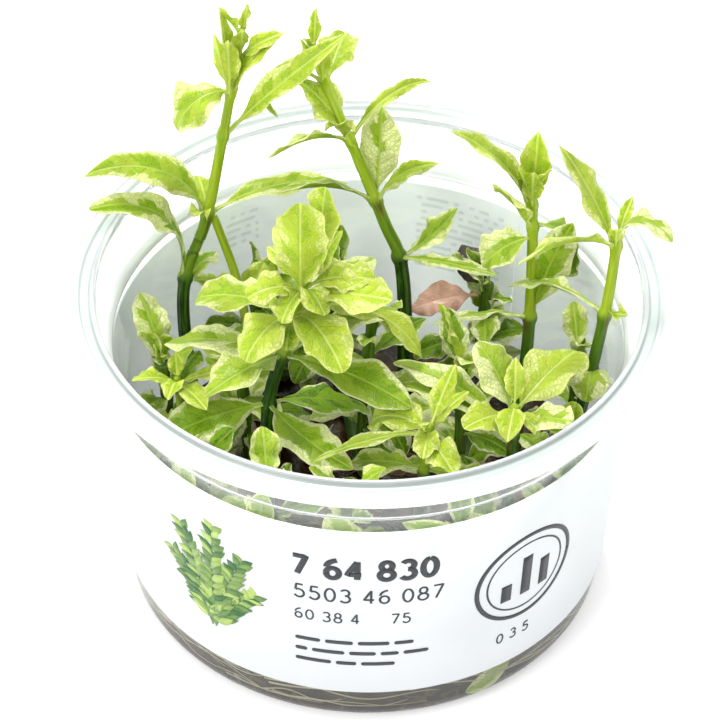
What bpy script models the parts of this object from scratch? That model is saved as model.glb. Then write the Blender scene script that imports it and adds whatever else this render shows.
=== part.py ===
"""Variegated hygrophila shoots growing on gel in a clear tissue culture cup.

The origin is the middle of the cup's flat base, +Z is up and -Y is the side
that carries the front of the label. Sizes are in metres; the tables of stems
and leaves are in millimetres and degrees, and each table says so.
"""

import bmesh
import bpy
import numpy as np
from math import cos, pi, radians, sin, tau

MM = 0.001

# Cup: a moulded clear shell, wider above a small shoulder, with a flat rim
CUP_HEIGHT = 62.0 * MM
CUP_SIDES = 32
WALL = 0.9 * MM
BASE_RADIUS = 37.4 * MM
FOOT_RADIUS = 41.6 * MM
FOOT_HEIGHT = 4.2 * MM
SHOULDER_HEIGHT = 51.5 * MM
BELOW_SHOULDER_RADIUS = 43.9 * MM
ABOVE_SHOULDER_RADIUS = 45.0 * MM
MOUTH_RADIUS = 45.5 * MM
LIP_RADIUS = 50.0 * MM
LIP_DROP = 2.2 * MM
GROOVE_DEPTH = 0.7 * MM

# Label: a thin printed wrap round the straight part of the wall
LABEL_BOTTOM = 8.7 * MM
LABEL_TOP = 48.7 * MM
LABEL_THICKNESS = 0.25 * MM
SEAM_AZIMUTH = 53.0
SEAM_GAP = 0.8

# Gel: the pale brown culture medium with its roots, filling the cup's foot
GEL_HEIGHT = 11.0 * MM
GEL_MENISCUS = 1.6 * MM
FIT_GAP = 0.3 * MM

# Stems and leaves
STEM_SIDES_RESOLUTION = 1
NODE_SWELL = 1.32
NODE_REACH = 1.4
LEAF_THICKNESS = 0.8 * MM
LEAF_FOLD = 10.0
PETIOLE_SHARE = 0.07
PETIOLE_HALF_WIDTH = 0.45 * MM
LEAF_STATIONS = (0.0, 0.10, 0.28, 0.5, 0.72, 0.88, 1.0)
SMALL_LEAF_STATIONS = (0.0, 0.14, 0.45, 0.78, 1.0)
LOW_LEAF_STATIONS = (0.0, 0.3, 0.7, 1.0)
SHORT_LEAF = 9.5

# Each stem: its half width at the foot and at the tip in mm, the points that
# its middle line passes through in mm, and the heights in mm of its nodes
STEMS = {
    "stem_left_tall": dict(
        radii=(1.25, 0.7), nodes=(44, 56, 71, 78.5),
        route=((-30.5, 17.5, 11.4), (-32.6, 21.5, 40), (-28.4, 25, 55), (-25.4, 28.5, 71), (-22.8, 33, 86),
               (-22.4, 34, 89))),
    "stem_back_centre": dict(
        radii=(1.5, 0.7), nodes=(46.5, 58.5, 70, 77.5),
        route=((7, 22, 11.4), (5.8, 25.5, 42), (2.2, 26.5, 54), (-4.6, 29.5, 71.5), (-9.2, 36.5, 79.5),
               (-10.8, 38.5, 83))),
    "stem_front_rosette": dict(
        radii=(1.4, 0.8), nodes=(43, 53, 61, 65.5),
        route=((-17, -7, 11.4), (-16.6, -8.5, 42), (-13.6, -7, 55), (-11, -5.5, 66), (-10.6, -5, 68))),
    "stem_right_back": dict(
        radii=(1.2, 0.8), nodes=(45, 64, 68.5),
        route=((26, 10, 11.4), (27.6, 12, 40), (27.4, 14, 62), (26.8, 15, 71))),
    "stem_right_edge": dict(
        radii=(1.3, 0.8), nodes=(45.5, 57, 69.5),
        route=((31, -4, 11.4), (36.3, -2.5, 37), (39.4, 0, 57), (40.6, 3, 69), (40.6, 3.2, 72))),
    "stem_front_right": dict(
        radii=(1.2, 0.8), nodes=(48, 53),
        route=((23, -17, 11.4), (24, -19.5, 38), (24, -20.5, 53), (24, -21, 55))),
    "stem_front_centre": dict(
        radii=(1.1, 0.7), nodes=(41, 50),
        route=((8, -18, 11.4), (9.4, -21.5, 38), (10.2, -22.5, 50), (10.3, -22.5, 52))),
    "stem_left_small": dict(
        radii=(1.0, 0.6), nodes=(34, 45),
        route=((-28, -5, 11.4), (-31, -6, 34), (-32, -6.5, 46.5))),
}

# Each leaf: the height in mm where it leaves its stem, then in degrees its
# heading from +X, the rise of its foot, how far it arches over and how far it
# turns aside, then its length and width in mm and its roll in degrees
LEAVES = {
    "stem_left_tall": {
        "leaf_left_tall_serrate": (56, 191, 80, 100, 6, 27, 8.5, -22),
        "leaf_left_tall_right": (56, 22, 24, 52, 0, 26, 7, 0),
        "leaf_left_tall_curling": (44, 206, 105, 106, 0, 31, 6, -28),
        "leaf_left_tall_long": (71, 6, 50, 14, 5, 29, 6.4, 25),
        "leaf_left_tall_drooping": (78.5, 215, 34, 118, -10, 13, 9, -14),
        "leaf_left_tall_upright": (78.5, 352, 78, 40, -4, 14, 5, 20),
    },
    "stem_back_centre": {
        "leaf_back_centre_drooping": (77.5, 165, 42, 182, -10, 20, 7, 0),
        "leaf_back_centre_thin_left": (70, 218, 44, 60, 2, 18, 3.4, 30),
        "leaf_back_centre_thin_right": (70, 48, 40, 72, -6, 21, 3.2, 30),
        "leaf_back_centre_cream": (58.5, 70, 80, -6, 0, 18, 7.5, 0),
        "leaf_back_centre_right": (58.5, 338, 70, 46, -6, 17, 4, 40),
        "leaf_back_centre_left": (58.5, 205, 50, 56, 0, 20, 5, 20),
        "leaf_back_centre_low_right": (46.5, 0, 40, -20, 4, 14, 6, 10),
        "leaf_back_centre_low_thin": (46.5, 318, 30, 30, 20, 20, 3.4, 20),
    },
    "stem_front_rosette": {
        "leaf_rosette_upright_left": (65.5, 262, 84, -8, 0, 20, 9, 0),
        "leaf_rosette_upright_right": (65.5, 42, 70, -14, 0, 20, 8, 0),
        "leaf_rosette_right_back": (61, 40, 36, 50, 0, 17, 8.5, 0),
        "leaf_rosette_right": (65.5, 335, 24, 20, 5, 16, 8, 0),
        "leaf_rosette_left": (61, 155, 12, 50, 0, 19, 8, 0),
        "leaf_rosette_front_left": (61, 228, 34, 90, 6, 13, 8.5, 0),
        "leaf_rosette_front": (61, 300, 42, 84, 0, 17, 8, 0),
        "leaf_rosette_low_left": (53, 166, 12, 44, -5, 21, 7.5, 0),
        "leaf_rosette_low_front": (53, 232, 30, 50, -15, 17, 8.5, 0),
        "leaf_rosette_low_right": (53, 330, 16, 34, 2, 24, 8, 0),
        "leaf_rosette_right_low": (53, 20, 34, 34, -10, 20, 8, 0),
        "leaf_rosette_foot_left": (43, 205, 9, 38, -12, 19, 9, -22),
        "leaf_rosette_foot_front": (43, 292, 16, 14, 30, 24, 8, 0),
    },
    "stem_right_back": {
        "leaf_right_back_long": (68.5, 187, 70, 40, 0, 22, 6.5, -16),
        "leaf_right_back_broad": (64, 225, 66, 20, 0, 18, 6.5, 0),
        "leaf_right_back_upright": (68.5, 75, 86, 0, 0, 14, 6, 0),
        "leaf_right_back_hanging": (64, 15, -10, 112, 0, 16, 8, 0),
        "leaf_right_back_low": (45, 200, 30, 40, 0, 18, 4, 20),
    },
    "stem_right_edge": {
        "leaf_right_edge_long": (69.5, 185, 72, 14, 0, 24, 6.4, -42),
        "leaf_right_edge_bent": (69.5, 330, 108, 160, 0, 15, 6, 0),
        "leaf_right_edge_left": (69.5, 212, 44, 56, 8, 22, 5.5, 30),
        "leaf_right_edge_thin": (57, 146, 24, 72, 0, 20, 4, 20),
        "leaf_right_edge_low": (45.5, 262, 56, 84, 0, 11, 7.5, 0),
    },
    "stem_front_right": {
        "leaf_front_right_broad": (53, 52, 24, 44, 4, 18, 10, 0),
        "leaf_front_right_upright": (53, 130, 64, 40, 0, 13, 7.5, 0),
        "leaf_front_right_side": (53, 322, 30, 10, 0, 12, 7, 0),
        "leaf_front_right_left": (53, 224, 40, 40, 0, 12, 6, 0),
        "leaf_front_right_long": (48, 162, 40, 54, 0, 21, 7, 0),
    },
}

# Small leaves fused to the stem they grow from, in the same form
TIP_LEAVES = {
    "stem_left_tall": ((56, 105, 40, 52, 0, 8, 4.5, 0), (84, 335, 54, 20, 0, 12, 4, 30),
                       (79, 150, 84, 0, 0, 16, 4, 0), (88.5, 213, 66, 12, 0, 8, 3, 0),
                       (88, 40, 76, 0, 0, 6, 2.5, 0)),
    "stem_back_centre": ((77.5, 75, 34, 46, 0, 12, 6.5, 0), (82, 66, 84, 0, 0, 8, 2.8, 0),
                         (70, 150, 60, 40, 0, 13, 7, 0), (82, 250, 60, 10, 0, 6, 2.5, 0)),
    "stem_front_rosette": ((67, 135, 36, 40, 0, 9, 5, 0),
                           (43, 10, 10, 50, 0, 18, 7.5, 0)),
    "stem_right_back": ((61.5, 200, 4, 60, 0, 10, 7, -20), (70.5, 320, 70, 10, 0, 8, 3, 0)),
    "stem_right_edge": ((71, 60, 60, 20, 0, 7, 2.6, 0), (57, 330, 30, 20, 0, 4, 2.4, 0)),
    "stem_front_right": ((54.5, 262, 34, 50, 0, 10, 5.5, 0), (54.5, 90, 60, 20, 0, 8, 4, 0)),
    "stem_front_centre": ((50, 150, 30, 90, 0, 12, 8, 0), (50, 284, 20, 20, 10, 12, 5.5, 0),
                          (51.5, 62, 50, 20, 0, 11, 4.5, 0), (51.5, 230, 60, 30, 0, 6, 3, 0),
                          (41, 350, 10, 40, 0, 12, 6, 0), (41, 165, 10, 40, 0, 13, 6, 0)),
    "stem_left_small": ((45, 205, 50, 50, 0, 9, 4.5, 0), (45, 350, 40, 30, 0, 11, 4.5, 0),
                        (45, 300, 30, 30, 0, 11, 5, 0), (46, 100, 76, 10, 0, 5, 3, 0),
                        (34, 160, 20, 50, 0, 8, 5, 0), (34, 290, 10, 40, 0, 9, 5, 0)),
}

# Low plantlets: each clump is one creeping stem with upright branches. Each
# branch gives in mm where it stands and its height, then its lean towards a
# heading, the heading of its lowest pair of leaves, and a leaf's length and
# width
CLUMPS = {
    "clump_left": ((-21, 6, 38, 200, 1, 30, 14, 7), (-34, 3, 41, 180, 1, 150, 12, 6.5)),
    "clump_back_left": ((-20, 29, 37, 120, 1, 10, 13, 6.5), (-7, 32, 35, 90, 1, 60, 13, 6.5),
                        (-1, 8, 49, 330, 2, 124, 14, 7)),
    "clump_back_right": ((20, 28, 37, 60, 2, 0, 13, 6), (16, -6, 48, 100, 2, 111, 14, 7)),
    "clump_right": ((33.5, -16, 44, 300, 1, 50, 12, 6.5), (36, 8, 42, 30, 0, 100, 11, 6)),
    "clump_front_left": ((-26, -21, 42, 220, 2, 20, 12, 7), (-15, -28, 46, 240, 2, 100, 12, 7)),
    "clump_front": ((-3, -33, 47, 270, 1, 0, 12, 6.5), (15, -34, 41, 290, 1, 90, 12, 6)),
}
BRANCH_RADIUS = 0.9
LEAF_SEAT = 0.9
CREEPER_RADIUS = 1.1
CREEPER_HEIGHT = 12.8
BRANCH_PAIRS = 2
WALL_CLEARANCE = 2.0


def clear_scene():
    for thing in list(bpy.data.objects):
        bpy.data.objects.remove(thing, do_unlink=True)


def material(name, colour, roughness, transmission=0.0):
    """A Principled material with the sub-part's plain colour."""
    made = bpy.data.materials.new(name)
    made.use_nodes = True
    shader = made.node_tree.nodes["Principled BSDF"]
    shader.inputs["Base Color"].default_value = (*colour, 1.0)
    shader.inputs["Roughness"].default_value = roughness
    shader.inputs["Metallic"].default_value = 0.0
    shader.inputs["Transmission Weight"].default_value = transmission
    return made


def add_object(name, mesh, surface):
    made = bpy.data.objects.new(name, mesh)
    bpy.context.scene.collection.objects.link(made)
    mesh.materials.clear()
    mesh.materials.append(surface)
    return made


def finish_mesh(bm, name):
    """Close the small things: merge doubles, turn faces out, shade smooth."""
    bmesh.ops.remove_doubles(bm, verts=bm.verts, dist=0.00002)
    bmesh.ops.recalc_face_normals(bm, faces=bm.faces)
    mesh = bpy.data.meshes.new(name)
    bm.to_mesh(mesh)
    bm.free()
    mesh.shade_smooth()
    mesh.set_sharp_from_angle(angle=radians(35))
    return mesh


def turned(profile, sweep=tau, steps=CUP_SIDES):
    """Spin a closed outline of (radius, height) points about the cup's axis."""
    bm = bmesh.new()
    corners = [bm.verts.new((r, 0.0, z)) for r, z in profile]
    edges = [bm.edges.new((corners[i], corners[(i + 1) % len(corners)])) for i in range(len(corners))]
    full = sweep >= tau
    geometry = corners + edges
    if not full:
        geometry.append(bm.faces.new(corners))
    bmesh.ops.spin(bm, geom=geometry, cent=(0, 0, 0), axis=(0, 0, 1), angle=sweep,
                   steps=steps, use_duplicate=False, use_merge=full)
    return bm


def arc(centre, radius, start, end, count):
    """Points of an arc in the (radius, height) plane, angles in degrees."""
    turns = np.radians(np.linspace(start, end, count))
    return [(centre[0] + radius * cos(a), centre[1] + radius * sin(a)) for a in turns]


def wall_radius(z):
    """Outer radius of the straight wall below the shoulder, at height z."""
    share = (z - FOOT_HEIGHT) / (SHOULDER_HEIGHT - FOOT_HEIGHT)
    return FOOT_RADIUS + share * (BELOW_SHOULDER_RADIUS - FOOT_RADIUS)


def cup_profile():
    """Outline of the cup's shell, up the outside and down the inside."""
    step = 1.2 * MM
    lip_round = 0.5 * MM
    lip_bottom = CUP_HEIGHT - LIP_DROP
    groove = CUP_HEIGHT - GROOVE_DEPTH
    under_rim = CUP_HEIGHT - 1.7 * MM
    outer_mouth = MOUTH_RADIUS + 0.75 * MM
    outside = [(0.0, 0.0), (BASE_RADIUS, 0.0)]
    outside += arc((BASE_RADIUS, FOOT_HEIGHT), FOOT_RADIUS - BASE_RADIUS, -60, -5, 3)
    outside += [(BELOW_SHOULDER_RADIUS, SHOULDER_HEIGHT),
                (ABOVE_SHOULDER_RADIUS + 0.35 * MM, SHOULDER_HEIGHT + step),
                (outer_mouth, under_rim),
                (LIP_RADIUS - 1.3 * MM, under_rim),
                (LIP_RADIUS - 0.9 * MM, lip_bottom),
                (LIP_RADIUS, lip_bottom),
                (LIP_RADIUS, CUP_HEIGHT - lip_round),
                (LIP_RADIUS - lip_round, CUP_HEIGHT)]
    top = [(LIP_RADIUS - 1.7 * MM, CUP_HEIGHT),
           (LIP_RADIUS - 2.1 * MM, groove),
           (MOUTH_RADIUS + 1.2 * MM, groove),
           (MOUTH_RADIUS + 0.8 * MM, CUP_HEIGHT),
           (MOUTH_RADIUS, CUP_HEIGHT)]
    inside = [(ABOVE_SHOULDER_RADIUS - 0.6 * MM, SHOULDER_HEIGHT + step),
              (BELOW_SHOULDER_RADIUS - WALL, SHOULDER_HEIGHT),
              (FOOT_RADIUS - WALL, FOOT_HEIGHT),
              (BASE_RADIUS - WALL, WALL * 1.3),
              (0.0, WALL * 1.3)]
    return outside + top + inside


def make_cup(surface):
    return add_object("cup", finish_mesh(turned(cup_profile()), "cup"), surface)


def make_label(surface):
    """A strip round the wall that stops short of itself at the back seam."""
    inner = FIT_GAP
    outer = FIT_GAP + LABEL_THICKNESS
    profile = [(wall_radius(LABEL_BOTTOM) + inner, LABEL_BOTTOM),
               (wall_radius(LABEL_BOTTOM) + outer, LABEL_BOTTOM),
               (wall_radius(LABEL_TOP) + outer, LABEL_TOP),
               (wall_radius(LABEL_TOP) + inner, LABEL_TOP)]
    sweep = radians(360.0 - SEAM_GAP)
    label = add_object("label_wrap", finish_mesh(turned(profile, sweep), "label_wrap"), surface)
    label.rotation_euler[2] = radians(SEAM_AZIMUTH + SEAM_GAP / 2)
    return label


def make_gel(surface):
    """The gel's block: flat on top, drawn up a little where it meets the wall."""
    reach = FOOT_RADIUS - WALL - FIT_GAP
    edge = reach + (GEL_HEIGHT - FOOT_HEIGHT) * 0.045
    floor = WALL * 1.3 + FIT_GAP
    profile = [(0.0, floor), (BASE_RADIUS - WALL - FIT_GAP, floor), (reach, FOOT_HEIGHT),
               (edge, GEL_HEIGHT + GEL_MENISCUS), (edge - 1.2 * MM, GEL_HEIGHT + 0.4 * GEL_MENISCUS),
               (edge - 3.5 * MM, GEL_HEIGHT), (0.0, GEL_HEIGHT)]
    return add_object("culture_gel", finish_mesh(turned(profile), "culture_gel"), surface)


def smooth_route(points, count):
    """A Catmull-Rom curve through the points, as count rows of x, y, z."""
    p = np.array(points, float)
    p = np.vstack([2 * p[0] - p[1], p, 2 * p[-1] - p[-2]])
    spans = len(p) - 3
    u = np.linspace(0, spans, count)
    i = np.minimum(u.astype(int), spans - 1)
    t = (u - i)[:, None]
    a, b, c, d = p[i], p[i + 1], p[i + 2], p[i + 3]
    return 0.5 * (2 * b + (c - a) * t + (2 * a - 5 * b + 4 * c - d) * t**2 + (3 * b - a - 3 * c + d) * t**3)


def stem_place(name, height):
    """The stem's middle point and half width at a height, in mm."""
    stem = STEMS[name]
    line = smooth_route(stem["route"], 121)
    place = np.array([np.interp(height, line[:, 2], line[:, k]) for k in range(3)])
    share = (height - line[0, 2]) / (line[-1, 2] - line[0, 2])
    foot, tip = stem["radii"]
    return place, foot + share * (tip - foot)


def stem_heights(stem):
    """Heights of the stem's rings: three at each node, one midway, both ends."""
    low = stem["route"][0][2]
    high = stem["route"][-1][2]
    heights = {low, high}
    for node in stem["nodes"]:
        heights.update(h for h in (node - NODE_REACH, node, node + NODE_REACH) if low < h < high)
    levels = sorted(heights)
    middles = [(a + b) / 2 for a, b in zip(levels, levels[1:]) if b - a > 8]
    return sorted(levels + middles)


def tube(name, rows, surface):
    """A closed round tube: a poly curve with a bevel, a radius at each point."""
    curve = bpy.data.curves.new(name + "_line", "CURVE")
    curve.dimensions = "3D"
    curve.bevel_depth = 1.0
    curve.bevel_resolution = STEM_SIDES_RESOLUTION
    curve.use_fill_caps = True
    spline = curve.splines.new("POLY")
    spline.points.add(len(rows) - 1)
    for point, (x, y, z, r) in zip(spline.points, rows):
        point.co = (x * MM, y * MM, z * MM, 1.0)
        point.radius = r * MM
    guide = bpy.data.objects.new(name + "_guide", curve)
    bpy.context.scene.collection.objects.link(guide)
    bpy.context.view_layer.update()
    mesh = bpy.data.meshes.new_from_object(guide.evaluated_get(bpy.context.evaluated_depsgraph_get()))
    bpy.data.objects.remove(guide, do_unlink=True)
    bm = bmesh.new()
    bm.from_mesh(mesh)
    bpy.data.meshes.remove(mesh)
    return add_object(name, finish_mesh(bm, name), surface)


def leaf_frame(base, heading, rise, arch, turn, length, stations):
    """Midrib points with their side and upward directions at each station.

    The direction climbs at (rise - arch * s) and heads for (heading + turn * s),
    where s runs from 0 at the foot to 1 at the tip.
    """
    steps = 48
    s = (np.arange(steps) + 0.5) / steps
    climb = np.radians(rise - arch * s)
    head = np.radians(heading + turn * s)
    along = np.stack([np.cos(climb) * np.cos(head), np.cos(climb) * np.sin(head), np.sin(climb)], 1)
    line = np.vstack([base, base + np.cumsum(along, 0) * length / steps])
    at = np.linspace(0, 1, steps + 1)
    mid = np.stack([np.interp(stations, at, line[:, k]) for k in range(3)], 1)
    s = np.asarray(stations)
    climb = np.radians(rise - arch * s)
    head = np.radians(heading + turn * s)
    side = np.stack([-np.sin(head), np.cos(head), 0 * s], 1)
    up = np.stack([-np.sin(climb) * np.cos(head), -np.sin(climb) * np.sin(head), np.cos(climb)], 1)
    return mid, side, up


def leaf_half_width(s, width):
    """Half the blade's width: a sine pulled towards the foot, on a short stalk."""
    blade = np.clip((s - PETIOLE_SHARE) / (1 - PETIOLE_SHARE), 0, 1)
    half = 0.5 * width * np.sin(pi * blade**0.78) ** 1.05
    return np.maximum(half, PETIOLE_HALF_WIDTH / MM * (1 - s))


def leaf_mesh(name, base, row, stations):
    """A thin closed blade: a lens section, folded up a little along its rib."""
    heading, rise, arch, turn, length, width, roll = row
    mid, side, up = leaf_frame(base, heading, rise, arch, turn, length, stations)
    lean = radians(roll)
    side, up = side * cos(lean) + up * sin(lean), up * cos(lean) - side * sin(lean)
    s = np.asarray(stations)
    half = leaf_half_width(s, width)[:, None]
    lift = up * half * sin(radians(LEAF_FOLD))
    spread = side * half * cos(radians(LEAF_FOLD))
    thick = up * (LEAF_THICKNESS / MM / 2)
    rings = np.stack([mid + spread + lift, mid + thick, mid - spread + lift, mid - thick], 1) * MM
    bm = bmesh.new()
    foot = bm.verts.new(mid[0] * MM)
    tip = bm.verts.new(mid[-1] * MM)
    loops = [[bm.verts.new(p) for p in ring] for ring in rings[1:-1]]
    for k in range(4):
        n = (k + 1) % 4
        bm.faces.new((foot, loops[0][n], loops[0][k]))
        bm.faces.new((tip, loops[-1][k], loops[-1][n]))
        for a, b in zip(loops, loops[1:]):
            bm.faces.new((a[k], a[n], b[n], b[k]))
    bmesh.ops.triangulate(bm, faces=bm.faces)
    return finish_mesh(bm, name)


def leaf_base(place, radius, heading, clearance):
    """The foot of a leaf: on the stem's skin, or clearance mm off it."""
    reach = radius + clearance
    head = radians(heading)
    return place + reach * np.array([cos(head), sin(head), 0.0])


def join_all(stem, blades):
    """One union of the stem with its blades, kept as a live Boolean."""
    group = bpy.data.collections.new(stem.name + "_blades")
    for blade in blades:
        bpy.context.scene.collection.objects.unlink(blade)
        group.objects.link(blade)
        blade.hide_render = True
        blade.display_type = "WIRE"
    bpy.context.scene.collection.children.link(group)
    union = stem.modifiers.new("fused_leaves", "BOOLEAN")
    union.operation = "UNION"
    union.solver = "EXACT"
    union.operand_type = "COLLECTION"
    union.collection = group


def make_stem(name, surface, leaf_surface):
    """A main stem with swollen nodes and its small fused tip leaves."""
    stem = STEMS[name]
    rows = []
    for height in stem_heights(stem):
        place, radius = stem_place(name, height)
        swell = NODE_SWELL if height in stem["nodes"] else 1.0
        rows.append((*place, radius * swell))
    made = tube(name, rows, surface)
    blades = []
    for number, row in enumerate(TIP_LEAVES.get(name, ()), 1):
        place, radius = stem_place(name, row[0])
        base = leaf_base(place, radius, row[1], -0.6 * radius)
        blade = f"{name}_blade_{number}"
        stations = LOW_LEAF_STATIONS if row[5] < SHORT_LEAF else SMALL_LEAF_STATIONS
        blades.append(add_object(blade, leaf_mesh(blade, base, row[1:], stations), leaf_surface))
    if blades:
        join_all(made, blades)
    return made


def make_leaves(stem_name, surface):
    """The separate leaves of a stem, each a short gap off its node."""
    for name, row in LEAVES.get(stem_name, {}).items():
        place, radius = stem_place(stem_name, row[0])
        base = leaf_base(place, radius * NODE_SWELL, row[1], FIT_GAP / MM + 0.1)
        add_object(name, leaf_mesh(name, base, row[1:], LEAF_STATIONS), surface)


def branch_rows(branch):
    """A branch's middle line in mm: up from the creeper, leaning as it goes."""
    x, y, height, lean_heading, lean = branch[:5]
    head = radians(lean_heading)
    t = np.array([0.0, 0.33, 0.67, 1.0])
    line = np.stack([x + lean * cos(head) * t**2, y + lean * sin(head) * t**2,
                     CREEPER_HEIGHT + (height - CREEPER_HEIGHT) * t], 1)
    return line


def room_to_wall(place, heading):
    """Distance in mm from a place to the cup's wall along a heading."""
    reach = (wall_radius(place[2] * MM) - WALL) / MM - WALL_CLEARANCE
    way = np.array([cos(radians(heading)), sin(radians(heading))])
    along = place[:2] @ way
    return -along + np.sqrt(along**2 - place[:2] @ place[:2] + reach**2)


def branch_leaves(branch):
    """Pairs of leaves up a branch, each pair crossing the one below it.

    Low leaves lie flatter and droop; the top pair stands up and is smaller.
    A leaf that the wall leaves no room for stays shorter and steeper.
    """
    x, y, height, lean_heading, lean, first, length, width = branch
    line = branch_rows(branch)
    for pair in range(BRANCH_PAIRS + 1):
        t = 0.5 + 0.5 * pair / BRANCH_PAIRS
        place = np.array([np.interp(t, (0, 0.33, 0.67, 1.0), line[:, k]) for k in range(3)])
        size = 1.0 - 0.12 * pair
        for way in (0, 180):
            heading = first + 90 * pair + way
            crowded = room_to_wall(place, heading) < 0.9 * length * size
            rise = 12 + 26 * pair + (40 if crowded else 0)
            arch = 60 - 16 * pair
            reach = min(length * size, 1.2 * room_to_wall(place, heading)) if crowded else length * size
            foot = leaf_base(place - (0, 0, LEAF_SEAT), BRANCH_RADIUS, heading, -0.6 * BRANCH_RADIUS)
            yield foot, (heading, rise, arch, 0, reach, width * size, 0)


def make_clump(name, branches, surface, leaf_surface):
    """A creeping stem with its branches and all their leaves, in one body."""
    feet = [(x, y, CREEPER_HEIGHT) for x, y, *_ in branches]
    first, last = np.array(feet[0]), np.array(feet[-1])
    end = 1.5 * (last - first) / np.linalg.norm(last - first)
    route = [first - end, *feet, last + end]
    creeper = tube(name, [(*p, CREEPER_RADIUS) for p in route], surface)
    parts = []
    for number, branch in enumerate(branches, 1):
        stalk = f"{name}_branch_{number}"
        rows = [(*p, BRANCH_RADIUS) for p in branch_rows(branch)]
        rows[0] = (*(branch_rows(branch)[0] - (0, 0, 0.5)), BRANCH_RADIUS)
        parts.append(tube(stalk, rows, surface))
        for leaf_number, (base, row) in enumerate(branch_leaves(branch), 1):
            blade = f"{stalk}_blade_{leaf_number}"
            mesh = leaf_mesh(blade, base, row, LOW_LEAF_STATIONS)
            parts.append(add_object(blade, mesh, leaf_surface))
    join_all(creeper, parts)
    return creeper


def build():
    clear_scene()
    clear_plastic = material("clear_plastic", (0.93, 0.95, 0.95), 0.08, 0.95)
    label_film = material("label_film", (0.86, 0.87, 0.87), 0.45)
    gel = material("gel", (0.34, 0.29, 0.20), 0.3)
    stem_green = material("stem_green", (0.30, 0.46, 0.07), 0.4)
    leaf_green = material("leaf_green", (0.50, 0.66, 0.18), 0.45)
    low_leaf_green = material("low_leaf_green", (0.30, 0.45, 0.12), 0.45)
    make_cup(clear_plastic)
    make_label(label_film)
    make_gel(gel)
    for name in STEMS:
        make_stem(name, stem_green, leaf_green)
        make_leaves(name, leaf_green)
    for name, branches in CLUMPS.items():
        make_clump(name, branches, stem_green, low_leaf_green)


build()
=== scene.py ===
# %% [markdown]
# # Variegated stem plants in a clear culture cup
# The object is a clear moulded cup with a printed film round it. Shoots with
# cream-edged leaves grow in it on a brown gel. The model of the construction is
# loaded first, and it fixes every size: this lesson only gives it its looks.

# %% Load the frame
from math import cos, pi, radians, sin

import bpy
import numpy as np
from mathutils import Matrix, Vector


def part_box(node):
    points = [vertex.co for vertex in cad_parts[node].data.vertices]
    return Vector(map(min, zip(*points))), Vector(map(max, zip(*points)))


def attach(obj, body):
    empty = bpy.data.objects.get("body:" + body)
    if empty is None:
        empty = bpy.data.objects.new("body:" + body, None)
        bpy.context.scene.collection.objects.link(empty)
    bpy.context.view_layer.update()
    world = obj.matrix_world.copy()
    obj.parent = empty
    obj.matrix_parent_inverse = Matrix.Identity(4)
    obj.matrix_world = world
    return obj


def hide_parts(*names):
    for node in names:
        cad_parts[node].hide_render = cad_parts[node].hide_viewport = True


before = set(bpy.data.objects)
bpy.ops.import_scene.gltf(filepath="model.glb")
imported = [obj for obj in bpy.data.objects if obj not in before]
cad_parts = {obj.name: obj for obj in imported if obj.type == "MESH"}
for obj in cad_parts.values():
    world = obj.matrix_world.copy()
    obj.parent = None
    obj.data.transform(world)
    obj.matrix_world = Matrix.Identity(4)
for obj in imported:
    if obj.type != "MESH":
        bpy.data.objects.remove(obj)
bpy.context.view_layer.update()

MM = 0.001
cup_low, cup_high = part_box("cup")
print("nodes:", len(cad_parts), "cup height in mm:", round(cup_high.z / MM, 1))


def new_object(name, data):
    """An object with this data, linked to the scene."""
    made = bpy.data.objects.new(name, data)
    bpy.context.scene.collection.objects.link(made)
    return made


def set_axes(thing, x_axis, y_axis, z_axis, place):
    """Give an object its three axes and its place, in metres."""
    matrix = np.eye(4)
    matrix[:3] = np.column_stack([x_axis, y_axis, z_axis, place])
    thing.matrix_world = Matrix(matrix.tolist())


# %% [markdown]
# ## Camera
# The picture was taken with a long lens from a little over forty degrees above
# the horizon. A pinhole camera was worked out from the ellipses of the rim and
# of the label, so its distance and lens are real sizes. It first looks at the
# middle of the mouth, and is then turned by three small angles.

# %% Place the camera
CAMERA_DISTANCE = 0.55
CAMERA_ELEVATION = 41.36
CAMERA_TURNS = (0.14, -1.28, -1.10)
SENSOR_MM = 36.0
LENS_MM = 165.7


def turned_about(vector, axis, degrees):
    """Rodrigues' formula: vector turned about a unit axis."""
    a = radians(degrees)
    return vector * cos(a) + np.cross(axis, vector) * sin(a) + axis * (axis @ vector) * (1 - cos(a))


target = np.array([0.0, 0.0, cup_high.z])
lift = radians(CAMERA_ELEVATION)
place = target + CAMERA_DISTANCE * np.array([0.0, -cos(lift), sin(lift)])
forward = (target - place) / CAMERA_DISTANCE
right = np.array([1.0, 0.0, 0.0])
up = np.cross(right, forward)
yaw, pitch, tilt = CAMERA_TURNS
forward, right = turned_about(forward, up, yaw), turned_about(right, up, yaw)
forward, up = turned_about(forward, right, pitch), turned_about(up, right, pitch)
right, up = turned_about(right, forward, tilt), turned_about(up, forward, tilt)

camera = new_object("camera", bpy.data.cameras.new("camera"))
camera.data.lens = LENS_MM
camera.data.sensor_width = SENSOR_MM
camera.data.clip_end = 20.0
set_axes(camera, right, up, -forward, place)
bpy.context.scene.camera = camera
print("camera at", [round(float(x), 3) for x in place])

# %% [markdown]
# ## Skins
# Every new piece is one or more closed skins. A skin is a stack of rings, and a
# ring is a closed loop of points, so a tube, a leaf, a strip and a turned cup
# are all the same thing: an array of shape (rings, points, 3). The faces are
# worked out for the whole array at once, and each end is closed with a fan.

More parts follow.
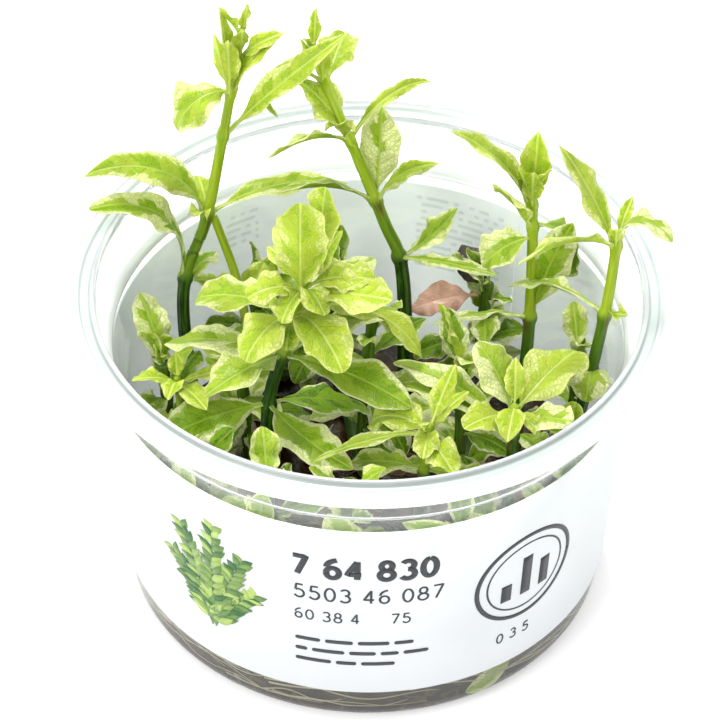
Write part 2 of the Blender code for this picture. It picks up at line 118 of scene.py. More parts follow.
# %% Build meshes from rings
def skin(rings, blade, tint=(0.0, 0.0, 0.0), seed=0.0, slot=0, mottle=0.0):
    """Arrays of one closed skin.

    Ring i joins ring i + 1 with quads: point j, point j + 1, then the same two
    points of the next ring. Both end rings are closed by a fan to their middle.
    blade is (rings, points, 3) and goes with the skin as an attribute. slot is
    the material's number, for the whole skin or for each gap between rings.
    """
    n, m = rings.shape[:2]
    points = np.vstack([rings.reshape(-1, 3), rings[0].mean(0), rings[-1].mean(0)])
    row = np.arange(n - 1)[:, None] * m
    here = np.arange(m)[None, :]
    nxt = (here + 1) % m
    quads = np.stack([row + here, row + nxt, row + m + nxt, row + m + here], 2).reshape(-1, 4)
    j = np.arange(m)
    k = (j + 1) % m
    foot = np.stack([np.full(m, n * m), k, j], 1)
    tip = np.stack([np.full(m, n * m + 1), (n - 1) * m + j, (n - 1) * m + k], 1)
    fans = np.vstack([foot, tip])
    a, b, c = points[quads[:, 0]], points[quads[:, 1]], points[quads[:, 2]]
    d = points[quads[:, 3]]
    volume = (a * np.cross(b, c)).sum() + (a * np.cross(c, d)).sum()
    if volume < 0:
        quads, fans = quads[:, ::-1], fans[:, ::-1]
    blade = np.broadcast_to(blade, (n, m, 3))
    blade = np.vstack([blade.reshape(-1, 3), blade[0].mean(0), blade[-1].mean(0)])
    tint = np.broadcast_to(tint, (n, m, 3))
    tint = np.vstack([tint.reshape(-1, 3), tint[0].mean(0), tint[-1].mean(0)])
    band = np.broadcast_to(slot, n - 1)
    slots = np.concatenate([np.repeat(band, m), np.full(m, band[0]), np.full(m, band[-1])])
    return dict(points=points, quads=quads, fans=fans, blade=blade, tint=tint, slots=slots,
                seed=np.full(len(points), seed), mottle=np.full(len(points), mottle))


def make_piece(name, skins, materials, node=None, sharp=None):
    """One mesh object from a list of skins, riding on the root body."""
    start = np.cumsum([0] + [len(s["points"]) for s in skins])
    corners, sizes, slots = [], [], []
    for s, first in zip(skins, start):
        corners += [(s["quads"] + first).ravel(), (s["fans"] + first).ravel()]
        sizes += [np.full(len(s["quads"]), 4), np.full(len(s["fans"]), 3)]
        slots.append(s["slots"])
    corners, sizes = np.concatenate(corners), np.concatenate(sizes)
    points = np.vstack([s["points"] for s in skins]) * MM
    mesh = bpy.data.meshes.new(name)
    mesh.vertices.add(len(points))
    mesh.vertices.foreach_set("co", points.ravel())
    mesh.loops.add(len(corners))
    mesh.loops.foreach_set("vertex_index", corners.astype(np.int32))
    mesh.polygons.add(len(sizes))
    mesh.polygons.foreach_set("loop_start", (np.cumsum(sizes) - sizes).astype(np.int32))
    mesh.polygons.foreach_set("material_index", np.concatenate(slots).astype(np.int32))
    mesh.update(calc_edges=True)
    for key in ("blade", "tint", "seed", "mottle"):
        values = np.concatenate([s[key] for s in skins]).astype(np.float32)
        kind, field = ("FLOAT_VECTOR", "vector") if values.ndim == 2 else ("FLOAT", "value")
        mesh.attributes.new(key, kind, "POINT").data.foreach_set(field, values.ravel())
    mesh.shade_smooth()
    if sharp:
        mesh.set_sharp_from_angle(angle=radians(sharp))
    for material in materials:
        mesh.materials.append(material)
    piece = new_object(name, mesh)
    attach(piece, "root")
    if node:
        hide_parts(node)


# %% [markdown]
# ## Writing materials
# A procedural material is a small sum on numbers and colours. These helpers keep
# each sum to one line: a value can be a plain number or the output of another
# node, and the helper links it or sets it.

# %% Node helpers
def feed(tree, socket, value):
    if isinstance(value, bpy.types.NodeSocket):
        tree.links.new(value, socket)
    elif value is not None:
        socket.default_value = value


def calc(tree, operation, a, b=None, c=None, clamp=False):
    """One Math node."""
    made = tree.nodes.new("ShaderNodeMath")
    made.operation = operation
    made.use_clamp = clamp
    for socket, value in zip(made.inputs, (a, b, c)):
        feed(tree, socket, value)
    return made.outputs[0]


def times(tree, a, b):
    return calc(tree, "MULTIPLY", a, b)


def plus(tree, a, b):
    return calc(tree, "ADD", a, b)


def minus(tree, a, b):
    return calc(tree, "SUBTRACT", a, b)


def step(tree, value, low, high):
    """A smooth step of a value: 0 at low and 1 at high."""
    made = tree.nodes.new("ShaderNodeMapRange")
    made.interpolation_type = "SMOOTHSTEP"
    for name, v in (("Value", value), ("From Min", low), ("From Max", high)):
        feed(tree, made.inputs[name], v)
    return made.outputs[0]


def between(tree, value, low, high, soft=0.1):
    """1 between low and high, and falling to 0 over soft beyond high and below low + soft."""
    return times(tree, step(tree, value, low, low + soft), step(tree, value, high + soft, high))


def mix(tree, mask, a, b, blend="MIX"):
    """Colour a where the mask is 0 and colour b where it is 1."""
    made = tree.nodes.new("ShaderNodeMix")
    made.data_type = "RGBA"
    made.blend_type = blend
    for socket, value in zip((made.inputs[0], made.inputs[6], made.inputs[7]), (mask, a, b)):
        feed(tree, socket, (*value, 1.0) if isinstance(value, tuple) and len(value) == 3 else value)
    return made.outputs[2]


def noise(tree, vector, scale, detail=2.0, rough=0.5):
    made = tree.nodes.new("ShaderNodeTexNoise")
    feed(tree, made.inputs["Vector"], vector)
    feed(tree, made.inputs["Scale"], scale)
    made.inputs["Detail"].default_value = detail
    made.inputs["Roughness"].default_value = rough
    return made.outputs[0]


def read(tree, name, output="Vector"):
    made = tree.nodes.new("ShaderNodeAttribute")
    made.attribute_name = name
    return made.outputs[output]


def object_place(tree):
    """A point's place on its piece, in metres."""
    return tree.nodes.new("ShaderNodeTexCoord").outputs["Object"]


def split(tree, vector):
    """The three parts of a vector or colour."""
    made = tree.nodes.new("ShaderNodeSeparateXYZ")
    feed(tree, made.inputs[0], vector)
    return made.outputs


def join(tree, x, y, z):
    made = tree.nodes.new("ShaderNodeCombineXYZ")
    for socket, value in zip(made.inputs, (x, y, z)):
        feed(tree, socket, value)
    return made.outputs[0]


def new_group(name, inputs, outputs):
    """A shader node group with named sockets: (name, kind) pairs."""
    tree = bpy.data.node_groups.new(name, "ShaderNodeTree")
    for label, kind in inputs:
        tree.interface.new_socket(label, in_out="INPUT", socket_type=kind)
    for label, kind in outputs:
        tree.interface.new_socket(label, in_out="OUTPUT", socket_type=kind)
    return tree, tree.nodes.new("NodeGroupInput").outputs, tree.nodes.new("NodeGroupOutput").inputs


def use(tree, group, **values):
    """The outputs of a group placed in a material, with its inputs fed by name."""
    made = tree.nodes.new("ShaderNodeGroup")
    made.node_tree = group
    for name, value in values.items():
        feed(tree, made.inputs[name], value)
    return made.outputs


def bump(tree, height, strength, distance_mm):
    made = tree.nodes.new("ShaderNodeBump")
    made.inputs["Strength"].default_value = strength
    made.inputs["Distance"].default_value = distance_mm * MM
    feed(tree, made.inputs["Height"], height)
    return made.outputs[0]


def new_material(name, **sockets):
    """A Principled material; sockets are set on the shader by name."""
    material = bpy.data.materials.new(name)
    material.use_nodes = True
    tree = material.node_tree
    shader = tree.nodes["Principled BSDF"]
    for label, value in sockets.items():
        shader.inputs[label.replace("_", " ")].default_value = value
    return material, tree, shader


def let_light_through(tree, shader, colour, share):
    """Mix the surface with light that comes through it from behind."""
    glow = tree.nodes.new("ShaderNodeBsdfTranslucent")
    feed(tree, glow.inputs["Color"], colour)
    both = tree.nodes.new("ShaderNodeMixShader")
    both.inputs[0].default_value = share
    tree.links.new(shader.outputs[0], both.inputs[1])
    tree.links.new(glow.outputs[0], both.inputs[2])
    tree.links.new(both.outputs[0], tree.nodes["Material Output"].inputs["Surface"])


# %% [markdown]
# ## Leaf veins
# A leaf's skin carries its own coordinates: millimetres along the midrib,
# millimetres away from it, and the share of the way to the margin. Side veins
# leave the midrib every two millimetres and sweep forward. Between them lies a
# fine net, which is the cell edges of a Voronoi pattern.

# %% The vein group
VEIN_SPACING = 2.1
VEIN_SWEEP = 0.75
VEIN_BEND = 0.07

veins, vein_in, vein_out = new_group(
    "leaf veins", [("Blade", "NodeSocketVector"), ("Seed", "NodeSocketFloat")],
    [("Rib", "NodeSocketFloat"), ("Side veins", "NodeSocketFloat"), ("Net", "NodeSocketFloat"),
     ("Sector", "NodeSocketFloat"), ("Height", "NodeSocketFloat")])
x, w, edge = split(veins, vein_in["Blade"])[:3]
away = calc(veins, "ABSOLUTE", w)
sweep = plus(veins, times(veins, away, VEIN_SWEEP),
             times(veins, calc(veins, "POWER", away, 2.0), VEIN_BEND))
phase = calc(veins, "DIVIDE", minus(veins, x, sweep), VEIN_SPACING)
wobble = times(veins, noise(veins, vein_in["Blade"], 0.5, 1.0), 0.5)
half = calc(veins, "SIGN", w)
phase = plus(veins, phase, plus(veins, wobble, times(veins, half, 0.25)))
saw = calc(veins, "ABSOLUTE", minus(veins, calc(veins, "FRACT", phase), 0.5))
rib = step(veins, away, 0.34, 0.10)
side_veins = times(veins, step(veins, saw, 0.42, 0.49), step(veins, edge, 1.0, 0.7))
cells = veins.nodes.new("ShaderNodeTexVoronoi")
cells.feature = "DISTANCE_TO_EDGE"
cells.inputs["Scale"].default_value = 1.45
feed(veins, cells.inputs["Vector"], vein_in["Blade"])
net = step(veins, cells.outputs["Distance"], 0.14, 0.02)
sector = plus(veins, calc(veins, "FLOOR", phase), times(veins, half, 37.0))
lines = calc(veins, "MAXIMUM", calc(veins, "MAXIMUM", rib, side_veins), times(veins, net, 0.6))
for label, value in (("Rib", rib), ("Side veins", side_veins), ("Net", net),
                     ("Sector", plus(veins, sector, vein_in["Seed"])),
                     ("Height", minus(veins, 1.0, lines))):
    feed(veins, vein_out[label], value)
print("vein group nodes:", len(veins.nodes))

# %% [markdown]
# ## Cream margins
# The cream zone starts at a different depth in each sector between two side
# veins, which is why its inner edge looks cut with scissors. One half of a leaf
# is often much paler than the other. A greyer green lies between the cream and
# the full green, with its own jagged edge. The same group gives small flecks,
# which make the mottled leaves.

# %% The variegation group
variegation, var_in, var_out = new_group(
    "cream margins", [("Blade", "NodeSocketVector"), ("Sector", "NodeSocketFloat"), ("Cream", "NodeSocketFloat"),
                      ("Mottle", "NodeSocketFloat"), ("Seed", "NodeSocketFloat")],
    [("Cream zone", "NodeSocketFloat"), ("Pale zone", "NodeSocketFloat"), ("Flecks", "NodeSocketFloat"),
     ("Cloud", "NodeSocketFloat")])


def draw_number(tree, number, shift):
    """A random number between 0 and 1 for each value of number."""
    drawn = tree.nodes.new("ShaderNodeTexWhiteNoise")
    drawn.noise_dimensions = "1D"
    feed(tree, drawn.inputs["W"], plus(tree, number, shift))
    return drawn.outputs["Value"]


shifted = times(variegation, var_in["Seed"], 3.7)
bx, bw, bedge = split(variegation, var_in["Blade"])[:3]
own = join(variegation, plus(variegation, bx, shifted), bw, shifted)
fine = minus(variegation, noise(variegation, own, 1.2, 3.0, 0.6), 0.5)
broad = minus(variegation, noise(variegation, own, 0.16, 1.0), 0.5)
first = draw_number(variegation, var_in["Sector"], 11.3)
second = draw_number(variegation, var_in["Sector"], 57.9)
half_number = plus(variegation, var_in["Seed"], times(variegation, calc(variegation, "SIGN", bw), 0.31))
half_bias = calc(variegation, "MULTIPLY_ADD", draw_number(variegation, half_number, 3.1), 0.34, -0.17)
depth = calc(variegation, "MULTIPLY_ADD", calc(variegation, "POWER", first, 1.6), 0.95, 0.42)
depth = times(variegation, var_in["Cream"], depth)
depth = plus(variegation, depth, calc(variegation, "MULTIPLY_ADD", broad, 0.9, half_bias))
over = plus(variegation, minus(variegation, bedge, 1.0), depth)
over = minus(variegation, over, times(variegation, fine, 0.42))
cream_zone = step(variegation, over, -0.03, 0.03)
reach = calc(variegation, "MULTIPLY_ADD", second, 0.75, 0.02)
over_pale = plus(variegation, over, calc(variegation, "MULTIPLY_ADD", broad, -1.1, reach))
pale_zone = step(variegation, over_pale, -0.03, 0.05)
speck_noise = noise(variegation, own, 1.5, 3.0, 0.75)
patch = step(variegation, noise(variegation, own, 0.45, 2.0), 0.40, 0.58)
flecks = times(variegation, step(variegation, speck_noise, 0.49, 0.53), patch)
flecks = times(variegation, flecks, var_in["Mottle"])
for label, value in (("Cream zone", cream_zone), ("Pale zone", pale_zone), ("Flecks", flecks), ("Cloud", broad)):
    feed(variegation, var_out[label], value)
print("variegation group nodes:", len(variegation.nodes))

# %% [markdown]
# ## Leaf material
# One material serves every leaf. Each leaf's skin says how young it is, how
# much of it is cream, how dark its green is and how mottled it is, so the same
# sums give a lime tip leaf and a deep green old one. Thin leaves glow when the
# light is behind them, so a third of the light comes through.

# %% The leaf material
LIME = (0.42, 0.64, 0.003)
FRESH = (0.22, 0.44, 0.004)
DEEP = (0.060, 0.175, 0.003)
LIME_PALE = (0.58, 0.74, 0.035)
SAGE = (0.40, 0.57, 0.045)
CREAM_YOUNG = (0.86, 0.91, 0.28)
CREAM_OLD = (0.95, 0.96, 0.60)
RIB_SHOWS = 0.75
VEIN_SHOWS = 0.42
LEAF_GLOW = 0.30


def leaf_colour(tree):
    """Base colour, vein height and cream zone of a leaf, from its attributes."""
    blade, seed_value = read(tree, "blade"), read(tree, "seed", "Fac")
    young, cream, dark = split(tree, read(tree, "tint"))[:3]
    vein = use(tree, veins, Blade=blade, Seed=seed_value)
    zone = use(tree, variegation, Blade=blade, Sector=vein["Sector"], Cream=cream,
               Mottle=read(tree, "mottle", "Fac"), Seed=seed_value)
    green = mix(tree, young, mix(tree, dark, FRESH, DEEP), LIME)
    pale = mix(tree, young, mix(tree, dark, SAGE, FRESH), LIME_PALE)
    white = mix(tree, young, CREAM_OLD, CREAM_YOUNG)
    inner = mix(tree, zone["Pale zone"], green, pale)
    inner = mix(tree, times(tree, zone["Flecks"], 0.6), inner, mix(tree, young, pale, LIME_PALE))
    margin = mix(tree, times(tree, zone["Flecks"], 0.5), white, mix(tree, young, pale, LIME))
    colour = mix(tree, zone["Cream zone"], inner, margin)
    lined = times(tree, vein["Rib"], RIB_SHOWS)
    for finer in ("Side veins", "Net"):
        lined = calc(tree, "MAXIMUM", lined, times(tree, vein[finer], VEIN_SHOWS))
    line_colour = mix(tree, zone["Cream zone"], mix(tree, young, SAGE, CREAM_YOUNG), SAGE)
    colour = mix(tree, lined, colour, line_colour)
    edge = split(tree, blade)[2]
    colour = mix(tree, times(tree, step(tree, edge, 0.90, 0.97), 0.8), colour, white)
    cloudy = calc(tree, "MULTIPLY_ADD", zone["Cloud"], 0.6, 1.0)
    tone = join(tree, cloudy, cloudy, cloudy)
    return mix(tree, 1.0, colour, tone, "MULTIPLY"), vein["Height"], zone["Cream zone"]


leaf, tree, shader = new_material(
    "leaf_blade", Roughness=0.36, Specular_IOR_Level=0.25, Coat_Weight=0.1, Coat_Roughness=0.14)
colour, height, cream_zone = leaf_colour(tree)
feed(tree, shader.inputs["Base Color"], colour)
feed(tree, shader.inputs["Roughness"], calc(tree, "MULTIPLY_ADD", cream_zone, 0.10, 0.32))
feed(tree, shader.inputs["Normal"], bump(tree, height, 0.9, 0.16))
let_light_through(tree, shader, colour, LEAF_GLOW)
print("leaf material nodes:", len(tree.nodes))

# %% [markdown]
# ## Stem material
# A stem is lime at its tip and a deep, wet green at its foot. The colour jumps at
# the nodes, because each length between two nodes is one season of growth. Just
# under a node the skin is often brown. The skin of the stem carries its height
# above the node below, so the material can draw all of that.

# %% The stem material
STEM_LIME = (0.43, 0.58, 0.020)
STEM_GREEN = (0.16, 0.34, 0.018)
STEM_DARK = (0.010, 0.055, 0.006)
STEM_BROWN = (0.17, 0.13, 0.03)
STEM_LIGHT = (0.60, 0.72, 0.12)
STEM_GLOW = 0.22

stem, tree, shader = new_material(
    "stem_skin", Roughness=0.32, Specular_IOR_Level=0.3, Coat_Weight=0.15, Coat_Roughness=0.14)
blade = read(tree, "blade")
along, round_x, round_y = split(tree, blade)[:3]
young, brown, dark = split(tree, read(tree, "tint"))[:3]
grain_place = join(tree, times(tree, along, 0.10), round_x, round_y)
streak = noise(tree, grain_place, 1.1, 3.0)
base = mix(tree, dark, STEM_GREEN, STEM_DARK)
base = mix(tree, young, base, STEM_LIME)
# The pale and dark streaks run along the ridges. They are partly the stem's own striping and partly a painted
# highlight on the ridges, with painted shade in the grooves between them.
streaks_and_painted_ridge_light = (0.66, 0.55, STEM_GREEN, STEM_LIGHT), (0.36, 0.45, STEM_DARK, STEM_GREEN)
for end, share, old_tone, young_tone in streaks_and_painted_ridge_light:
    streaky = times(tree, step(tree, streak, 0.50, end), share)
    base = mix(tree, streaky, base, mix(tree, young, old_tone, young_tone))
patchy = times(tree, brown, step(tree, noise(tree, grain_place, 0.7, 1.0), 0.42, 0.60))
base = mix(tree, patchy, base, STEM_BROWN)
feed(tree, shader.inputs["Base Color"], base)
feed(tree, shader.inputs["Normal"], bump(tree, streak, 0.5, 0.25))
let_light_through(tree, shader, base, STEM_GLOW)

# %% [markdown]
# ## Plastic, film, gel and ink
# The cup is clear with a little milkiness in it, most of all in its thick rim,
# so the rim gets its own, whiter plastic. The groove's plastic is a darker grey
# green, painted shade for the dark inside of the cup seen through it, and the
# bead's milky white plastic is a painted highlight along the shoulder. Light
# rays are let through them unbent, as a real thin wall does. The film is white,
# and daylight comes through it. Its inner side is painted lighter and greener
# than its outer side and given a faint glow of its own, painted light for the
# daylight through the film and the green light off the leaves, and it shows rows
# of faint bars, the back of its print. The gel is brown and cloudy. It has one
# material where it wets the wall and a wetter one on top.

# %% The plastics
def clear_plastic(name, milk, roughness, colour, shadow):
    """Plastic that bends light for the eye and lets lamps' light straight in."""
    material, tree, shader = new_material(name, Base_Color=(*colour, 1.0), Roughness=roughness, IOR=1.49,
                                          Transmission_Weight=1.0 - milk)
    clear = tree.nodes.new("ShaderNodeBsdfTransparent")
    clear.inputs[0].default_value = (*shadow, 1.0)
    either = tree.nodes.new("ShaderNodeMixShader")
    tree.links.new(tree.nodes.new("ShaderNodeLightPath").outputs["Is Shadow Ray"], either.inputs[0])
    tree.links.new(shader.outputs[0], either.inputs[1])
    tree.links.new(clear.outputs[0], either.inputs[2])
    tree.links.new(either.outputs[0], tree.nodes["Material Output"].inputs["Surface"])
    where = object_place(tree)
    haze = noise(tree, where, 130.0, 3.0)
    feed(tree, shader.inputs["Roughness"], calc(tree, "MULTIPLY_ADD", haze, 0.05, roughness - 0.025))
    return material


wall_plastic = clear_plastic("clear_wall", 0.03, 0.04, (0.97, 0.98, 0.98), (0.94, 0.95, 0.95))
rim_plastic = clear_plastic("milky_rim", 0.46, 0.16, (0.76, 0.79, 0.79), (0.90, 0.92, 0.92))
# Painted shade: the groove's darker grey green stands in for the dark inside of the cup seen through it.
groove_plastic_painted_shade = clear_plastic("milky_groove_painted_shade", 0.50, 0.16, (0.60, 0.68, 0.65), (0.86, 0.90, 0.88))
# Painted highlight: the bead's milky white band stands in for the bright line of light along the shoulder.
bead_plastic_painted_highlight = clear_plastic("milky_bead_painted_highlight", 0.70, 0.14, (0.84, 0.87, 0.86), (0.90, 0.92, 0.92))

# %% The film and the gel
FILM_OUTSIDE = (0.76, 0.775, 0.80), (0.78, 0.795, 0.82)
# Painted light: the inner side's tones are lighter and greener than the outer side's, standing in for the daylight
# through the film and the green light off the leaves.
FILM_INSIDE_PAINTED_LIGHT = (0.93, 0.98, 0.91), (0.95, 0.99, 0.94)
FILM_PAINTED_GLOW = 0.26
FILM_GLOW = 0.36
GHOST_ROW = 1.5
GHOST_COLUMN = 1.3
GHOST_BAR = (0.25, 0.70)
GHOST_GAPS = 0.40
GHOST_TONE = (0.50, 0.60, 0.50)
PLACES_IN_ROW = 31.0
GHOST_AREAS = ((57.0, 79.0, 30.0, 46.5), (117.5, 126.5, 39.0, 46.5))

film, tree, shader = new_material("label_film", Roughness=0.38, Specular_IOR_Level=0.4)
label_x, label_z, inside = split(tree, read(tree, "blade"))[:3]
cloud = noise(tree, object_place(tree), 60.0, 3.0)
outer, inner = [mix(tree, step(tree, cloud, 0.35, 0.65), *tones) for tones in (FILM_OUTSIDE, FILM_INSIDE_PAINTED_LIGHT)]
row = calc(tree, "DIVIDE", label_z, GHOST_ROW)
column = calc(tree, "DIVIDE", label_x, GHOST_COLUMN)
place_number = plus(tree, calc(tree, "FLOOR", column), times(tree, calc(tree, "FLOOR", row), PLACES_IN_ROW))
in_row = between(tree, calc(tree, "FRACT", row), *GHOST_BAR)
printed = times(tree, in_row, step(tree, draw_number(tree, place_number, 0.5), GHOST_GAPS, GHOST_GAPS + 0.02))
areas = [times(tree, between(tree, label_x, low, high), between(tree, label_z, foot, top))
         for low, high, foot, top in GHOST_AREAS]
printed = times(tree, printed, calc(tree, "MAXIMUM", *areas))
inner = mix(tree, times(tree, printed, 0.40), inner, GHOST_TONE)
paint = mix(tree, inside, outer, inner)
feed(tree, shader.inputs["Base Color"], paint)
# Painted light: the inner side glows with an emission of its own, standing in for the daylight that comes through the
# film.
feed(tree, shader.inputs["Emission Color"], paint)
feed(tree, shader.inputs["Emission Strength"], times(tree, inside, FILM_PAINTED_GLOW))
let_light_through(tree, shader, paint, FILM_GLOW)

GEL_DARK_SIDE, GEL_LIT_SIDE = (0.020, 0.016, 0.010), (0.060, 0.050, 0.032)
GEL_SIDE_NEAR_TOP = (0.13, 0.115, 0.068)
GEL_DARK_TOP, GEL_LIT_TOP = (0.018, 0.009, 0.004), (0.13, 0.055, 0.024)
STRAND_WIDTHS = 0.035, 0.008


def murky(tree, where, dark_tone, lit_tone, strand_tone, towards_top=None):
    """The gel's cloudy colour with fine pale strands, lighter towards the top if asked, and its cloud as a height."""
    cloud = noise(tree, where, 120.0, 4.0, 0.6)
    distance = calc(tree, "ABSOLUTE", minus(tree, noise(tree, where, 210.0, 2.0, 0.5), 0.5))
    tone = mix(tree, step(tree, cloud, 0.36, 0.66), dark_tone, lit_tone)
    # The gel's side gets lighter towards the top.
    if towards_top is not None:
        tone = mix(tree, times(tree, towards_top, 0.45), tone, GEL_SIDE_NEAR_TOP)
    return mix(tree, times(tree, step(tree, distance, *STRAND_WIDTHS), 0.22), tone, strand_tone), cloud


gel_side_skin, tree, shader = new_material("gel_on_wall", Roughness=0.6, Specular_IOR_Level=0.0)
where = object_place(tree)
higher = step(tree, split(tree, where)[2], 0.003, 0.012)
side, _ = murky(tree, where, GEL_DARK_SIDE, GEL_LIT_SIDE, (0.30, 0.25, 0.15), higher)
feed(tree, shader.inputs["Base Color"], side)

gel, tree, shader = new_material(
    "culture_gel", Roughness=0.2, Specular_IOR_Level=0.4, Coat_Weight=0.3, Coat_Roughness=0.08)
earth, murk = murky(tree, object_place(tree), GEL_DARK_TOP, GEL_LIT_TOP, (0.36, 0.28, 0.17))
feed(tree, shader.inputs["Base Color"], earth)
feed(tree, shader.inputs["Normal"], bump(tree, murk, 0.6, 0.8))

# %% Roots, dead leaves and ink
root_skin, tree, shader = new_material("root_skin", Roughness=0.32, Coat_Weight=0.3, Coat_Roughness=0.1)
tone = noise(tree, object_place(tree), 180.0, 2.0)
pale_root = split(tree, read(tree, "tint"))[0]
rooty = mix(tree, pale_root, mix(tree, tone, (0.025, 0.010, 0.006), (0.13, 0.05, 0.025)),
            mix(tree, tone, (0.30, 0.26, 0.14), (0.50, 0.46, 0.30)))
feed(tree, shader.inputs["Base Color"], rooty)

dead, tree, shader = new_material("dead_leaf", Roughness=0.4, Coat_Weight=0.3, Coat_Roughness=0.15)
vein = use(tree, veins, Blade=read(tree, "blade"), Seed=read(tree, "seed", "Fac"))
rot = noise(tree, read(tree, "blade"), 0.6, 4.0, 0.65)
pink, tan, _ = split(tree, read(tree, "tint"))[:3]
husk = mix(tree, step(tree, rot, 0.35, 0.65), (0.025, 0.016, 0.010), (0.10, 0.06, 0.035))
husk = mix(tree, pink, husk, mix(tree, rot, (0.42, 0.20, 0.13), (0.66, 0.40, 0.28)))
husk = mix(tree, tan, husk, mix(tree, rot, (0.30, 0.21, 0.12), (0.56, 0.46, 0.32)))
feed(tree, shader.inputs["Base Color"], husk)
feed(tree, shader.inputs["Normal"], bump(tree, vein["Height"], 0.6, 0.12))


def ink_material(name, dark_colour, light_colour):
    """Ink on film: two tones by mark, with the faint unevenness of print."""
    material, tree, shader = new_material(name, Roughness=0.42, Specular_IOR_Level=0.35)
    speck = noise(tree, object_place(tree), 700.0, 2.0)
    by_mark = split(tree, read(tree, "tint"))[0]
    amount = calc(tree, "MULTIPLY_ADD", minus(tree, speck, 0.5), 0.5, by_mark, clamp=True)
    feed(tree, shader.inputs["Base Color"], mix(tree, amount, dark_colour, light_colour))
    return material


grey_ink = ink_material("grey_ink", (0.026, 0.028, 0.034), (0.070, 0.072, 0.080))
green_ink = ink_material("green_ink", (0.035, 0.13, 0.035), (0.42, 0.56, 0.14))
print("materials:", len(bpy.data.materials))

# %% [markdown]
# ## The cup
# The real cup is moulded in one shot: a thin wall, a shoulder and a broad flat
# rim with a groove. Its outline is the construction's own, but every corner is
# rounded here, because a clear edge shows its radius as a bright line. Turning
# the outline about the cup's axis gives the rings.

# %% Turn the cup
CUP_POINTS = 256
CORNER_RADIUS = 0.32
RIM_RADIUS = 50.0
RIM_HEIGHT = 62.0
MOUTH_RADIUS = 45.5
RIM_UNDERSIDE = 59.8
WALL = 0.9
FLOOR_TOP = 1.3 * WALL
FLAT_RADIUS = 37.4
WALL_FOOT_RADIUS, WALL_FOOT = 41.6, 4.2
WALL_TOP_RADIUS, WALL_TOP = 43.9, 51.5
SHOULDER_RADIUS, SHOULDER = 45.35, 52.7
GROOVE_RADII, GROOVE_FLOOR = (46.3, 48.3), 61.3
CUP_SHARP = 50
WALL_SLOT, RIM_SLOT, GROOVE_SLOT, BEAD_SLOT = range(4)


def wall_radius(z):
    """Outer radius of the straight wall at height z, in mm."""
    share = (z - WALL_FOOT) / (WALL_TOP - WALL_FOOT)
    return WALL_FOOT_RADIUS + share * (WALL_TOP_RADIUS - WALL_FOOT_RADIUS)


def rounded(outline, radius, count=5):
    """Each inner corner becomes a quadratic curve between points radius away."""
    p = np.array(outline, float)
    before, after = p[:-2] - p[1:-1], p[2:] - p[1:-1]
    reach_in = np.minimum(radius, 0.45 * np.linalg.norm(before, axis=1))[:, None]
    reach_out = np.minimum(radius, 0.45 * np.linalg.norm(after, axis=1))[:, None]
    a = p[1:-1] + before / np.linalg.norm(before, axis=1)[:, None] * reach_in
    b = p[1:-1] + after / np.linalg.norm(after, axis=1)[:, None] * reach_out
    t = np.linspace(0, 1, count)[:, None, None]
    curve = (1 - t) ** 2 * a + 2 * t * (1 - t) * p[1:-1] + t**2 * b
    return np.vstack([p[:1], curve.transpose(1, 0, 2).reshape(-1, 2), p[-1:]])


def turn(outline, count=CUP_POINTS):
    """Rings about the axis, one for each (radius, height) point."""
    r, z = np.array(outline, float).T
    a = np.linspace(0, 2 * pi, count, endpoint=False)
    return np.stack([r[:, None] * np.cos(a), r[:, None] * np.sin(a), np.broadcast_to(z[:, None], (len(z), count))], 2)


foot_turns = np.radians(np.linspace(-80, -5, 8))
foot_width = WALL_FOOT_RADIUS - FLAT_RADIUS
foot_arc = [(FLAT_RADIUS + foot_width * cos(a), WALL_FOOT + WALL_FOOT * sin(a)) for a in foot_turns]
outside = [(20.0, 0.0), (33.0, 0.0), (FLAT_RADIUS, 0.0), *foot_arc,
           (wall_radius(20), 20.0), (wall_radius(36), 36.0),
           (WALL_TOP_RADIUS, WALL_TOP), (SHOULDER_RADIUS, SHOULDER),
           (46.25, 60.3), (48.7, 60.3), (49.1, RIM_UNDERSIDE), (RIM_RADIUS, RIM_UNDERSIDE)]
over_rim = [(RIM_RADIUS, RIM_HEIGHT), (GROOVE_RADII[1], RIM_HEIGHT), (47.9, GROOVE_FLOOR), (46.7, GROOVE_FLOOR),
            (GROOVE_RADII[0], RIM_HEIGHT), (MOUTH_RADIUS, RIM_HEIGHT)]
inside_wall = [(44.4, SHOULDER), (WALL_TOP_RADIUS - WALL, WALL_TOP), (wall_radius(36) - WALL, 36.0),
               (wall_radius(20) - WALL, 20.0), (WALL_FOOT_RADIUS - WALL, WALL_FOOT),
               (FLAT_RADIUS - WALL, FLOOR_TOP), (33.0, FLOOR_TOP), (20.0, FLOOR_TOP)]
cup_outline = rounded(outside + over_rim + inside_wall, CORNER_RADIUS)
ring_heights = 0.5 * (cup_outline[1:, 1] + cup_outline[:-1, 1])
ring_radii = 0.5 * (cup_outline[1:, 0] + cup_outline[:-1, 0])
milky = np.full(len(ring_heights), WALL_SLOT)
# The bead's band takes the milky plastic that paints a highlight along the shoulder.
milky[np.abs(ring_heights - WALL_TOP) < 0.9] = BEAD_SLOT
milky[ring_heights > 59.6] = RIM_SLOT
# The groove's band takes the grey green plastic that paints the shade of the dark inside seen through it.
milky[(ring_heights > 60.9) & (ring_radii > 46.4) & (ring_radii < 48.2)] = GROOVE_SLOT
cup_skin = skin(turn(cup_outline), np.zeros(3), slot=milky)
cup_plastics = [wall_plastic, rim_plastic, groove_plastic_painted_shade, bead_plastic_painted_highlight]
make_piece("clear_cup", [cup_skin], cup_plastics, "cup", sharp=CUP_SHARP)
print("cup rings:", len(cup_outline))

